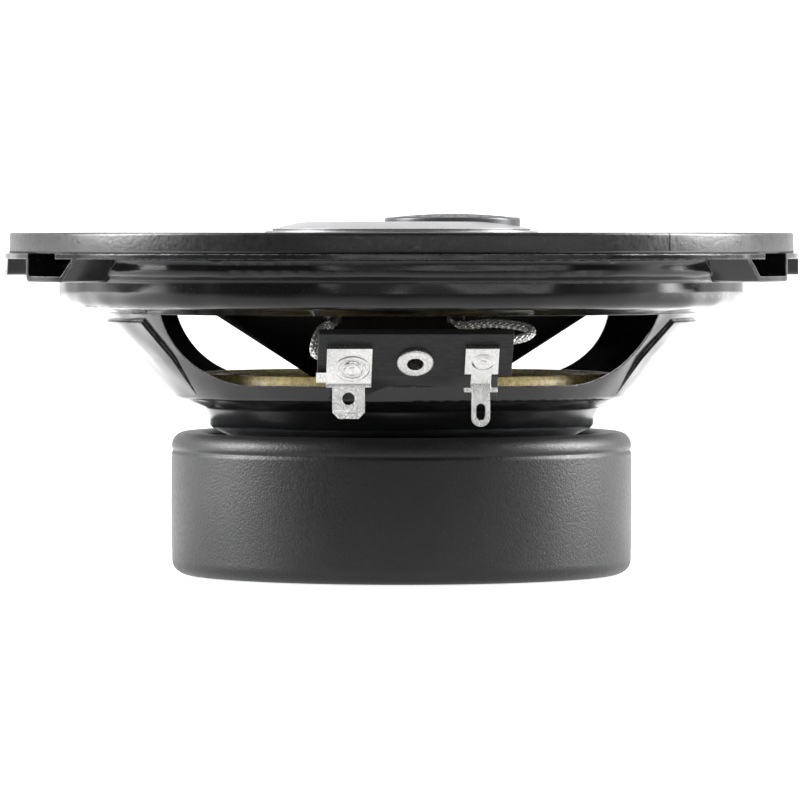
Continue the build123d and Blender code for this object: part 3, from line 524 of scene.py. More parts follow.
def shared_group(name):
    """The shader group of that name, made once. Its maker is given the sockets of the inputs, and
    gives back a list of what goes to the outputs."""
    if name not in GROUPS:
        maker, inputs, outputs = GROUP_MAKERS[name]
        tree = bpy.data.node_groups.new(name, "ShaderNodeTree")
        for label, value in inputs.items():
            tree.interface.new_socket(label, in_out="INPUT",
                                      socket_type="NodeSocketFloat").default_value = value
        for label in outputs:
            kind = "NodeSocketVector" if label == "Normal" else "NodeSocketFloat"
            tree.interface.new_socket(label, in_out="OUTPUT", socket_type=kind)
        given = tree.nodes.new("NodeGroupInput").outputs
        result = tree.nodes.new("NodeGroupOutput").inputs
        for label, value in zip(outputs, maker(Shader(tree), *(given[label] for label in inputs))):
            tree.links.new(value, result[label])
        GROUPS[name] = tree
    return GROUPS[name]


# ---------------------------------------------------------------- finishes


def shade(rgb, factor):
    return tuple(min(1.0, channel * factor) for channel in rgb)


class Finish(Shader):
    """A material being built. Its constant values stand on its Principled shader's own sockets,
    and its grain and slow patches, from one grain group, are what most of it varies by."""

    def __init__(self, name, grain_scale, **constants):
        self.material = bpy.data.materials.new(name)
        self.material.use_nodes = True
        super().__init__(self.material.node_tree)
        self.sockets = self.tree.nodes["Principled BSDF"].inputs
        for key, value in constants.items():
            self.sockets[key.replace("_", " ")].default_value = value
        grain = self.group("grain", Scale=grain_scale)
        self.grain, self.patch = grain["Grain"], grain["Patch"]

    def by_grain(self, low, high):
        return self.stretch(self.grain, 0.3, 0.7, low, high)

    def by_patch(self, low, high):
        return self.stretch(self.patch, 0.0, 1.0, low, high)

    def shades(self, share, rgb, low, high):
        """A colour between two shades of one."""
        return self.mix(share, shade(rgb, low), shade(rgb, high))

    def dusted(self, base, scale, share, rgb):
        return self.mix(self.group("dust", Scale=scale, Amount=share)["Mask"], base, rgb)

    def lay_on(self, base, rough, height, strength, depth, **normal):
        """Join colour, roughness and relief to the shader, and give back the material."""
        relief = self.add("Bump", Height=height, Strength=strength, Distance=depth, **normal)[0]
        for key, value in (("Base Color", base), ("Roughness", rough), ("Normal", relief)):
            self.tree.links.new(value, self.sockets[key])
        return self.material


def gloss_paint(name, rgb):
    """Stoved black paint on pressed steel: shallow swells left by the press, slight orange peel,
    thin dust, and edges turned grey, partly as rubbed wear and partly as painted highlight."""
    paint = Finish(name, 420.0, Coat_Weight=0.08, Coat_Roughness=0.1, Specular_IOR_Level=0.46)
    dust = paint.group("dust", Scale=2600.0, Amount=0.35)["Mask"]
    edge = paint.group("edge", Radius=0.00035, Scale=700.0)
    plain = paint.shades(paint.patch, rgb, 1.0, 1.7)
    # Edges mixed towards grey: partly rubbed wear, partly painted highlight where edges catch the
    # light.
    worn_and_highlit = paint.mix(edge["Mask"], plain, (0.3, 0.3, 0.3))
    rough = paint.calc("MULTIPLY_ADD", dust, 0.4, paint.by_patch(0.13, 0.22))
    swell = paint.noise(paint.at(), 70.0, 1.0)
    height = paint.calc("MULTIPLY_ADD", swell, 200.0, paint.grain)
    return paint.lay_on(paint.mix(dust, worn_and_highlit, (0.16, 0.155, 0.15)), rough, height, 0.09, 0.0001,
                        Normal=edge["Normal"])


def moulded_rubber(name, rgb):
    """Moulded motor cover: fine rounded stipple, dull skin, a few paler scuffs."""
    rubber = Finish(name, 1500.0, Specular_IOR_Level=0.42)
    height = rubber.group("pebble", Scale=2600.0, Uneven=0.8)["Height"]
    plain = rubber.shades(rubber.patch, rgb, 0.8, 1.35)
    base = rubber.dusted(plain, 2200.0, 0.5, (0.12, 0.12, 0.12))
    return rubber.lay_on(base, rubber.by_grain(0.36, 0.5), height, 0.4, 0.00007)


def foam_skin(name, rgb, scale, smooth, dull, strength, specular=0.5):
    """Skinned foam: small flattened cells under a smooth skin."""
    foam = Finish(name, scale * 0.6, Specular_IOR_Level=specular)
    height = foam.group("pebble", Scale=scale, Uneven=0.8)["Height"]
    base = foam.shades(foam.patch, rgb, 0.85, 1.25)
    return foam.lay_on(base, foam.by_grain(smooth, dull), height, strength, 0.00008)


def coated_paper(name, rgb):
    """Pressed paper cone: felted fibres under a dull black coat."""
    paper = Finish(name, 800.0, Specular_IOR_Level=0.22)
    fibre = paper.noise(paper.at(), 1300.0, 6.0, Roughness=0.75, Distortion=2.5)
    base = paper.shades(paper.stretch(fibre, 0.35, 0.75), rgb, 0.7, 2.2)
    return paper.lay_on(base, paper.by_grain(0.62, 0.8), fibre, 0.45, 0.00012)


def dipped_cloth(name, rgb, resin, threads, rows):
    """Spider: plain weave set with resin, browner towards the glued rim and collar."""
    cloth = Finish(name, 1000.0, Coat_Weight=0.25, Coat_Roughness=0.3, Specular_IOR_Level=0.45,
                   Subsurface_Weight=0.5, Subsurface_Radius=(1.0, 0.7, 0.4), Subsurface_Scale=0.003)
    weave = cloth.group("weave", Threads_U=threads, Threads_V=rows)
    from_middle = cloth.calc("ABSOLUTE", cloth.calc("SUBTRACT", cloth.surface()["Y"], 0.5))
    ragged = cloth.calc("ADD", from_middle, cloth.by_patch(-0.008, 0.008))
    near_rim = cloth.stretch(ragged, 0.03, 0.012, smooth=True)
    near_coil = cloth.stretch(from_middle, 0.44, 0.485, smooth=True)
    glue = cloth.calc("MAXIMUM", near_rim, near_coil)
    thread = cloth.shades(cloth.stretch(cloth.grain, 0.35, 0.6), rgb, 0.55, 1.08)
    hollow = cloth.calc("MAXIMUM", cloth.times(weave["Gap"], 0.5), glue)
    rough = cloth.stretch(glue, 0.0, 1.0, 0.55, 0.28)
    return cloth.lay_on(cloth.mix(hollow, thread, resin), rough, weave["Height"], 0.7, 0.0001)


def fibre_board(name, rgb):
    """Laminated board: flat pressed fibres, pale flecks, dull sheen."""
    board = Finish(name, 900.0, Specular_IOR_Level=0.45)
    long_way = board.add("Mapping", Vector=board.at(), Scale=(0.35, 1.6, 1.6))[0]
    fleck = board.noise(long_way, 1900.0, 4.0, Roughness=0.7)
    base = board.shades(board.stretch(fleck, 0.45, 0.85), rgb, 0.8, 2.2)
    return board.lay_on(base, board.by_grain(0.48, 0.66), fleck, 0.25, 0.00006)


def plated(name, rgb, smooth, dull, scale, brush=(1.0, 1.0, 1.0), scratch=0.0):
    """Plated metal: drawn marks along the strip, blotches where the plating has dulled, and
    scratches, which are the crests of a stretched and bent noise."""
    metal = Finish(name, 1100.0, Metallic=1.0)
    at = metal.at()
    drawn = metal.add("Mapping", Vector=at, Scale=brush)[0]
    marks = metal.noise(drawn, scale, 4.0, Roughness=0.65)
    across = metal.add("Mapping", Vector=at, Rotation=(0.4, 0.3, 0.7), Scale=(1.0, 0.16, 0.5))[0]
    lines = metal.noise(across, 2600.0, 2.0, Distortion=1.2)
    from_crest = metal.calc("ABSOLUTE", metal.calc("SUBTRACT", lines, 0.5))
    crest = metal.stretch(from_crest, 0.0, 0.02, scratch, 0.0)
    blotch = metal.times(metal.patch, metal.stretch(marks, 0.3, 0.7, 0.4, 1.0))
    base = metal.shades(metal.calc("MAXIMUM", blotch, crest), rgb, 1.18, 0.6)
    rough = metal.stretch(blotch, 0.0, 1.0, smooth, dull)
    height = metal.calc("SUBTRACT", metal.calc("MULTIPLY_ADD", metal.grain, 0.5, marks), crest)
    return metal.lay_on(base, rough, height, 0.3, 0.00008)


def stranded_wire(name, rgb, metallic):
    """Tinned strands: fine wires along each strand, with painted shade in the grooves between them.
    """
    wire = Finish(name, 1500.0, Metallic=metallic)
    ridge = wire.calc("ABSOLUTE", wire.wave(wire.surface()["Y"], 6 * math.pi))
    # Painted shade: the colour darkens in the grooves between the fine wires.
    groove_shade = wire.times(wire.stretch(ridge, 0.0, 0.35, 1.0, 0.0), 0.7)
    base = wire.shades(groove_shade, rgb, 1.0, 0.3)
    return wire.lay_on(base, wire.by_patch(0.26, 0.42), ridge, 0.5, 0.00003)


def frozen_solder(name, rgb):
    """Solder: dull metal with frozen ripples."""
    metal = Finish(name, 1300.0, Metallic=1.0)
    base = metal.shades(metal.patch, rgb, 0.6, 0.3)
    return metal.lay_on(base, metal.by_patch(0.2, 0.45), metal.grain, 0.35, 0.00012)


def satin_silver(name, rgb):
    """Satin silver lacquer on moulded plastic: fine metal flake, slight orange peel, thin dust."""
    silver = Finish(name, 500.0, Metallic=0.55)
    flake = silver.add("TexVoronoi", {"feature": "F1"}, Vector=silver.at(), Scale=6000.0,
                       Randomness=1.0)
    level = silver.split(flake["Color"])["X"]
    plain = silver.shades(level, rgb, 0.86, 1.12)
    base = silver.dusted(plain, 2400.0, 0.25, (0.5, 0.49, 0.47))
    rough = silver.stretch(level, 0.0, 1.0, 0.34, 0.46)
    edge = silver.group("edge", Radius=0.0003)
    return silver.lay_on(base, rough, silver.grain, 0.1, 0.0001, Normal=edge["Normal"])


def satin_plastic(name, rgb, smooth, dull):
    """Moulded plastic or paint with a fine texture and thin dust."""
    plastic = Finish(name, 1400.0)
    plain = plastic.shades(plastic.patch, rgb, 0.85, 1.3)
    base = plastic.dusted(plain, 2400.0, 0.3, (0.2, 0.2, 0.2))
    return plastic.lay_on(base, plastic.by_grain(smooth, dull), plastic.grain, 0.16, 0.00006)


def fired_ferrite(name):
    """Ferrite: charcoal ceramic with grinding marks and small chips."""
    ferrite = Finish(name, 1700.0)
    rings = ferrite.group("turned", Scale=1800.0)["Rings"]
    base = ferrite.mix(ferrite.grain, (0.03, 0.03, 0.032), (0.085, 0.082, 0.08))
    rough = ferrite.stretch(rings, 0.3, 0.7, 0.4, 0.62)
    return ferrite.lay_on(base, rough, ferrite.grain, 0.3, 0.0001)


def enamelled_winding(name, rgb):
    """Fine wire wound in rings: a ridge for each turn along Z, under amber enamel, with painted
    shade between the turns.
    """
    wire = Finish(name, 900.0, Metallic=0.9, Coat_Weight=0.6, Coat_Roughness=0.15)
    height = wire.split(wire.at())["Z"]
    ridge = wire.calc("ABSOLUTE", wire.wave(height, math.pi / WINDING_PITCH))
    # Painted shade: the colour darkens between turns.
    base = wire.shades(ridge, rgb, 0.55, 1.0)
    return wire.lay_on(base, wire.by_patch(0.25, 0.4), ridge, 0.6, 0.00006)


def dome_film(name):
    """Tweeter diaphragm: thin amber film, faintly uneven."""
    film = Finish(name, 700.0, Coat_Weight=0.5, Coat_Roughness=0.08)
    base = film.mix(film.patch, (0.42, 0.24, 0.07), (0.6, 0.38, 0.13))
    return film.lay_on(base, film.by_grain(0.18, 0.32), film.grain, 0.12, 0.00005)


def sleeved_capacitor(name):
    """Capacitor sleeve: shrunk blue film with soft creases."""
    sleeve = Finish(name, 500.0, Coat_Weight=0.3, Coat_Roughness=0.2)
    base = sleeve.mix(sleeve.patch, (0.02, 0.05, 0.16), (0.035, 0.09, 0.26))
    return sleeve.lay_on(base, sleeve.by_grain(0.25, 0.4), sleeve.patch, 0.2, 0.0002)


def pale_sheet(name):
    """Matt pale paper. Seen by the camera, in gloss and through glass it gives light of its own
    too, so that it comes out white, and what the speaker shades stays a little darker. In front
    of the speaker it sends less light back, as a room does. Its rear is clear to the camera, so
    that the speaker can be seen from below and from behind."""
    material = bpy.data.materials.new(name)
    material.use_nodes = True
    sheet = Shader(material.node_tree)
    sheet.tree.nodes.clear()
    path = sheet.add("LightPath")
    camera = path["Is Camera Ray"]
    mirrored = sheet.calc("MAXIMUM", path["Is Glossy Ray"], path["Is Transmission Ray"])
    seen = sheet.calc("MAXIMUM", camera, mirrored)
    depth = sheet.split(sheet.at())["Y"]
    behind = sheet.stretch(depth, -0.2, -0.04, 0.02, 0.9, smooth=True)
    shown = sheet.calc("MAXIMUM", camera, sheet.times(seen, behind))
    near = sheet.stretch(depth, -0.1, 0.1, 0.12, 1.0, smooth=True)
    paper = sheet.mix(sheet.calc("MAXIMUM", camera, near), (0.0, 0.0, 0.0), (0.8, 0.8, 0.8))
    matt = sheet.add("BsdfDiffuse", Color=paper)[0]
    glow = sheet.add("Emission", Color=(1.0, 1.0, 1.0, 1.0), Strength=sheet.times(shown, 0.85))[0]
    both = sheet.add("AddShader", i0=matt, i1=glow)[0]
    rear = sheet.times(camera, sheet.add("NewGeometry")["Backfacing"])
    clear = sheet.add("BsdfTransparent")[0]
    whole = sheet.add("MixShader", i0=rear, i1=both, i2=clear)[0]
    sheet.feed(sheet.tree.nodes.new("ShaderNodeOutputMaterial").inputs["Surface"], whole)
    return material


FINISHES = {}


def finish(name):
    """The material of that name, made once from the scene's colours."""
    if name not in FINISHES:
        colours = bpy.context.scene.speaker_colours
        sizes = bpy.context.scene.speaker_sizes
        make, *values = {
            "gloss_paint": (gloss_paint, colours.paint),
            "moulded_rubber": (moulded_rubber, colours.cover),
            "gasket_skin": (foam_skin, colours.gasket, 1500.0, 0.25, 0.4, 0.2, 0.58),
            "open_foam": (foam_skin, (0.03, 0.03, 0.031), 1100.0, 0.8, 0.95, 0.9),
            "surround_skin": (foam_skin, colours.surround, 2400.0, 0.45, 0.6, 0.25, 0.3),
            "coated_paper": (coated_paper, colours.cone),
            "dipped_cloth": (dipped_cloth, colours.cloth, colours.resin, sizes.thread_count,
                             sizes.thread_rows),
            "fibre_board": (fibre_board, colours.board),
            "tin_plate": (plated, colours.tin, 0.16, 0.38, 900.0, (3.0, 3.0, 0.4), 0.8),
            "zinc_plate": (plated, colours.zinc, 0.32, 0.55, 420.0, (1.0, 1.0, 1.0), 0.4),
            "former_foil": (plated, (0.72, 0.72, 0.73), 0.3, 0.45, 1500.0, (1.0, 1.0, 6.0)),
            "braided_wire": (stranded_wire, shade(colours.tin, 1.15), 0.6),
            "twisted_wire": (stranded_wire, shade(colours.tin, 0.55), 0.9),
            "lead_core": (satin_plastic, (0.02, 0.018, 0.016), 0.7, 0.9),
            "solder": (frozen_solder, colours.tin),
            "satin_silver": (satin_silver, colours.silver),
            "capsule_black": (satin_plastic, colours.capsule, 0.28, 0.42),
            "guard_black": (satin_plastic, shade(colours.capsule, 0.6), 0.4, 0.55),
            "fired_ferrite": (fired_ferrite,),
            "enamelled_winding": (enamelled_winding, colours.copper),
            "dome_film": (dome_film,),
            "sleeved_capacitor": (sleeved_capacitor,),
            "pale_sheet": (pale_sheet,),
        }[name]
        FINISHES[name] = make(name, *values)
    return FINISHES[name]


def coat_nodes(finish_name, *nodes):
    """Give carried-over nodes a finish."""
    for node in nodes:
        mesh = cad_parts[node].data
        mesh.materials.clear()
        mesh.materials.append(finish(finish_name))


# ---------------------------------------------------------------- work on a mesh


def soften_edges(node, name, width, finish_name):
    """Stand for a node with a copy whose corners are merged and whose flat faces are whole, so that
    a narrow bevel can round its sharp edges and they catch the light."""
    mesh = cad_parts[node].data.copy()
    shell = bmesh.new()
    shell.from_mesh(mesh)
    bmesh.ops.remove_doubles(shell, verts=shell.verts, dist=1e-6)
    bmesh.ops.dissolve_limit(shell, angle_limit=math.radians(0.6), verts=shell.verts,
                             edges=shell.edges)
    shell.to_mesh(mesh)
    shell.free()
    if "custom_normal" in mesh.attributes:
        mesh.attributes.remove(mesh.attributes["custom_normal"])
    mesh.polygons.foreach_set("use_smooth", np.ones(len(mesh.polygons), bool))
    mesh.set_sharp_from_angle(angle=math.radians(32.0))
    piece = place(name, mesh, finish_name)
    edge = piece.modifiers.new("edges", "BEVEL")
    edge.width = width * MM
    edge.segments = 2
    edge.limit_method = "ANGLE"
    edge.angle_limit = math.radians(38.0)
    edge.use_clamp_overlap = True
    edge.harden_normals = True
    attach(piece, "frame")
    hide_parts(node)


def lean_out(mesh, start):
    """Move a mesh made round the Z axis on to a rivet: its axis comes out of the board, forwards
    and down by equal parts, from the point where the rivet starts behind it."""
    x, y, z = get_places(mesh).T
    root = math.sqrt(0.5)
    set_places(mesh, np.stack([start[0] * MM + x, start[1] * MM - root * (y + z),
                               start[2] * MM + root * (y - z)], axis=1))


def close_centre(mesh, away):
    """Close a small hole at the Z axis: its points are pulled on to the axis and merged."""
    shell = bmesh.new()
    shell.from_mesh(mesh)
    near = [v for v in shell.verts if math.hypot(v.co.x, v.co.y) < away]
    for v in near:
        v.co.x = v.co.y = 0.0
    bmesh.ops.remove_doubles(shell, verts=near, dist=1e-7)
    shell.to_mesh(mesh)
    shell.free()


# ---------------------------------------------------------------- operators


class SPEAKER_OT_basket(Operator):
    """Paint the pressed basket"""

    bl_idname = "speaker.basket"
    bl_label = "Basket"

    def execute(self, context):
        coat_nodes("gloss_paint", "basket")
        return {"FINISHED"}


class SPEAKER_OT_motor(Operator):
    """Finish the motor's steel, magnet and coil, and make its soft cover and foam ring"""

    bl_idname = "speaker.motor"
    bl_label = "Motor"

    def execute(self, context):
        coat_nodes("zinc_plate", "yoke", "top_plate", "basket_rivets", "pod_post", "post_bolt",
                   "post_nut")
        coat_nodes("fired_ferrite", "magnet")
        coat_nodes("former_foil", "voice_coil_former")
        coat_nodes("enamelled_winding", "voice_coil_winding")
        self.make_cover()
        self.make_foam_ring()
        return {"FINISHED"}

    def make_cover(self):
        """The cover's outline carried round the axis. Its side bulges a little at mid height and
        draws in at the crease, as stretched rubber does: the radius gains
        bulge sin(pi h) - groove exp(-((z - crease) / spread)^2), with h the share of height."""
        bulge, groove, crease, spread = 0.12, 0.32, 20.6, 0.22
        foot, shoulder, clear = 2.4, 2.2, 0.02
        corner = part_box("magnet_boot")[1]
        outer, top = corner.x / MM - bulge, corner.z / MM
        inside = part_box("magnet")[1].x / MM + clear
        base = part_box("yoke")[0].z / MM
        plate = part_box("top_plate")[1].z / MM + clear
        side = np.linspace(foot + 0.2, top - shoulder - 0.2, 70)
        share = (side - side[0]) / (side[-1] - side[0])
        radius = (outer + bulge * np.sin(math.pi * share)
                  - groove * np.exp(-((side - crease) / spread) ** 2))
        lip = [(34.6, top), (33.5, top - 0.06), (33.1, top - 0.4), (33.05, plate),
               (inside, plate), (inside, base), (18.0, base - clear), (0.3, base - clear),
               (0.3, 0.0), (18.0, 0.0), (33.0, 0.0)]
        outline = np.concatenate([
            quarter((outer - foot, foot), foot, -1, 10), np.stack([radius, side], axis=1),
            quarter((outer - shoulder, top - shoulder), shoulder, 0, 10), lip]) * MM
        mesh = turn_profile("motor_cover", outline[::-1], 256)
        close_centre(mesh, 0.5 * MM)
        cover = place("motor_cover", mesh, "moulded_rubber")
        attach(cover, "frame")
        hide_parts("magnet_boot")

    def make_foam_ring(self):
        """A ring of foam whose section is a rectangle with soft corners. At mid height its outer
        side is drawn in by 0.12 mm, and its inner side stands in by a fifth of that."""
        inner, between = 4.65, 8.0
        low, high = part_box("pole_foam_ring")
        outer, base, top = high.x / MM, low.z / MM, high.z / MM
        section = round_corners([(inner, base), (outer, base), (outer, top), (inner, top)],
                                [0.3, 0.5, 0.7, 0.5])
        height = (section[:, 1] - base) / (top - base)
        section[:, 0] -= (0.12 * np.sin(math.pi * height)
                          * np.where(section[:, 0] > between, 1.0, 0.2))
        ring = place("foam_ring", turn_profile("foam_ring", section * MM, 96), "open_foam")
        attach(ring, "frame")
        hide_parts("pole_foam_ring")


class SPEAKER_OT_cone(Operator):
    """Finish the cone and its eyelets"""

    bl_idname = "speaker.cone"
    bl_label = "Cone"

    def execute(self, context):
        coat_nodes("coated_paper", "cone")
        coat_nodes("zinc_plate", "cone_eyelets")
        return {"FINISHED"}


class SPEAKER_OT_surround(Operator):
    """Make the surround's roll"""

    bl_idname = "speaker.surround"
    bl_label = "Surround"

    def execute(self, context):
        """The middle line is flat on the cone, then a flattened half roll, then flat on the flange.
        Over the roll, with a from 0 to pi, the radius is the middle less half the width times
        cos(a) held by its power 0.72, and the height is the rise times sin(a) to the power 0.85."""
        sizes = context.scene.speaker_sizes
        wall, inner, outer = sizes.surround_wall, sizes.roll_inner, sizes.roll_outer
        lap_start, step, hole = 45.4 * MM, 0.3 * MM, 2.6 * MM
        rim_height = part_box("basket")[1].z + wall / 2
        lap_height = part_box("cone")[1].z + wall / 2
        angle = np.linspace(0.0, math.pi, 49)
        flattened = np.sign(np.cos(angle)) * np.abs(np.cos(angle)) ** 0.72
        rise = sizes.roll_rise * np.sin(angle) ** 0.85
        roll = np.stack([(inner + outer) / 2 - (outer - inner) / 2 * flattened,
                         np.linspace(lap_height, rim_height, 49) + rise], axis=1)
        lap = level_line(lap_start, inner - step, lap_height, 6)
        rim = level_line(outer + step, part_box("surround")[1].x, rim_height, 12)
        outline = thick_line(np.concatenate([lap, roll, rim]), wall)
        mesh = turn_profile("surround_roll", outline[::-1], 240)
        piece = place("surround_roll", mesh, "surround_skin")
        cut_holes(piece, hole, EAR_ANGLES, rim_height - 2 * MM, rim_height + 2 * MM)
        give_way(piece, (outer - distances(piece.data)) / (outer - inner))
        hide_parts("surround")
        return {"FINISHED"}


class SPEAKER_OT_spider(Operator):
    """Make the spider's corrugated cloth"""

    bl_idname = "speaker.spider"
    bl_label = "Spider"

    def execute(self, context):
        """The middle line rises along the coil, turns out, and then waves: with t from 0 to 1 the
        radius grows evenly, and the height is an even slope plus the wave times cos(2 pi n t).
        It ends on the basket's ledge."""
        sizes = context.scene.speaker_sizes
        wave = sizes.spider_wave / MM
        collar = (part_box("voice_coil_former")[1].x + sizes.spider_wall / 2) / MM
        still, moving = 34.6, 15.0
        t = np.linspace(0.0, 1.0, sizes.spider_count * 24 + 1)
        waves = np.stack([15.6 + 19.0 * t, 31.2 + 1.3 * t
                          + wave * np.cos(FULL_TURN * sizes.spider_count * t)], axis=1)
        rise = np.stack([np.full(6, collar), np.linspace(29.4, 30.5, 6)], axis=1)
        ledge = np.array([(35.95, 29.85), (36.6, 30.08), (37.24, 30.3)])
        turn_out = bezier(rise[-1], (collar, 31.5), (14.8, 31.9), waves[0])
        turn_down = bezier(waves[-1], (35.3, 33.2), (35.05, 29.75), ledge[0])
        middle = np.concatenate([rise, turn_out, waves, turn_down, ledge]) * MM
        outline = thick_line(middle, sizes.spider_wall)
        mesh = turn_profile("spider_cloth", outline[::-1], 216)
        piece = place("spider_cloth", mesh, "dipped_cloth")
        give_way(piece, (still - distances(mesh) / MM) / (still - moving))
        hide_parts("spider")
        return {"FINISHED"}


class SPEAKER_OT_gasket(Operator):
    """Make the gasket's three lengths"""

    bl_idname = "speaker.gasket"
    bl_label = "Gasket"

    def execute(self, context):
        """Each length is a rounded rectangle carried round a third of a turn, less half the joint
        at each end, with its screw holes taken out. Its outer lip reaches down past the surround's
        rim to the flange."""
        inner, hole = 58.4 * MM, 2.2 * MM
        soft = context.scene.speaker_sizes.gasket_round
        low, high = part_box("front_gasket")
        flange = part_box("basket")[1].z + 0.04 * MM
        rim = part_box("surround")[1].x + 0.05 * MM
        section = round_corners([(inner, low.z), (rim, low.z), (rim, flange), (high.x, flange),
                                 (high.x, high.z), (inner, high.z)],
                                [0.0001, 0.00004, 0.00002, 0.00006, soft, soft])
        third, half_joint = FULL_TURN / 3, 0.09 / 65.2
        for number in range(3):
            start = math.radians(-52.0 + 120.0 * number)
            name = f"gasket_length_{number + 1}"
            mesh = turn_profile(name, section, 90, start + half_joint, third - 2 * half_joint)
            piece = place(name, mesh, "gasket_skin")
            mine = [angle for angle in EAR_ANGLES if (angle - start) % FULL_TURN < third]
            if mine:
                cut_holes(piece, hole, mine, low.z - MM, high.z + MM)
            piece.data.set_sharp_from_angle(angle=math.radians(50.0))
            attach(piece, "frame")
            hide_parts("front_gasket")
        return {"FINISHED"}


class SPEAKER_OT_terminals(Operator):
    """Finish the terminal board and the two tabs, and clench their rivets"""

    bl_idname = "speaker.terminals"
    bl_label = "Terminals"

    def execute(self, context):
        soften_edges("terminal_board", "board", 0.09, "fibre_board")
        soften_edges("terminal_positive", "wide_tab", 0.12, "tin_plate")
        soften_edges("terminal_negative", "narrow_tab", 0.12, "tin_plate")
        soften_edges("board_rivet", "hollow_rivet", 0.1, "tin_plate")
        for side, ring in (("positive", 1.0), ("negative", 0.35)):
            self.clench(f"{side}_rivet", BRAID_ROUTES[f"tinsel_lead_{side}"][0], ring)
        self.emboss(BRAID_ROUTES["tinsel_lead_positive"][0])
        return {"FINISHED"}

    def emboss(self, start):
        """The ring pressed into the wide tab round its rivet: a ridge whose height over the tab is
        0.24 sin(a) to the power 0.8, with a from 0 to pi across its width."""
        face, inner, outer, sunk = 2.5, 2.05, 2.85, 0.04
        angle = np.linspace(0.0, math.pi, 13)
        ridge = np.stack([(inner + outer) / 2 + (outer - inner) / 2 * np.cos(angle),
                          face + 0.24 * np.abs(np.sin(angle)) ** 0.8], axis=1)
        outline = np.concatenate([[(inner, face - sunk), (outer, face - sunk)], ridge])
        mesh = turn_profile("wide_tab_ring", outline * MM, 64)
        lean_out(mesh, start)
        piece = place("wide_tab_ring", mesh, "tin_plate")
        mesh.set_sharp_from_angle(angle=math.radians(60.0))
        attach(piece, "frame")

    def clench(self, name, start, ring):
        """A rivet: a domed head behind the board, the shank, and in front a head rolled over to a
        ring. The ring's height is a bell at 0.78 of the head's radius, over a flat dome, and the
        point punched at its middle is a bell taken away."""
        head, shank, thick, rise = 1.88, 0.9, 2.0, 0.5
        r = np.linspace(head, 0.02, 26)
        share = r / head
        bell = 0.62 * ring * np.exp(-((share - 0.78) / 0.13) ** 2)
        punch = 0.4 * np.exp(-((share / 0.2) ** 2))
        front = thick + rise + rise * (0.35 + bell - punch) * (1 - share**6)
        back = rise - rise * np.sqrt(1 - 0.98 * share**4)
        outline = np.concatenate([
            np.stack([r[::-1], back[::-1]], axis=1), [(head, rise), (shank, rise)],
            [(shank, thick + rise - 0.01), (head, thick + rise - 0.01)],
            np.stack([r, front], axis=1)])
        mesh = turn_profile(name, outline * MM, 48)
        close_centre(mesh, 0.03 * MM)
        lean_out(mesh, start)
        piece = place(name, mesh, "tin_plate")
        mesh.set_sharp_from_angle(angle=math.radians(50.0))
        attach(piece, "frame")
        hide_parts("terminal_rivets")


BRAID_ROUTES = {
    "tinsel_lead_positive": (
        (-10.0, -44.11, 36.82), (-10.0, -42.7, 38.23), (-16.3, -42.2, 36.4), (-15.4, -37.6, 40.4),
        (-13.44, -33.25, 42.01), (-12.91, -29.7, 41.28), (-12.54, -28.85, 42.71)),
    "tinsel_lead_negative": (
        (10.8, -45.17, 37.88), (10.8, -43.76, 39.29), (18.0, -41.2, 39.6), (19.8, -37.2, 41.4),
        (12.44, -33.19, 42.31), (7.56, -31.49, 41.28), (7.34, -30.59, 42.71)),
}
THIN_ROUTES = {
    "pod_lead_positive": ((-12.17, -27.98, 44.18), (-11.8, -27.14, 45.61), (-5.78, -13.3, 45.62),
                          (-5.78, -13.3, 48.72)),
    "pod_lead_negative": ((7.12, -29.67, 44.18), (6.91, -28.77, 45.61), (3.38, -14.1, 45.62),
                          (3.38, -14.1, 48.72)),
}


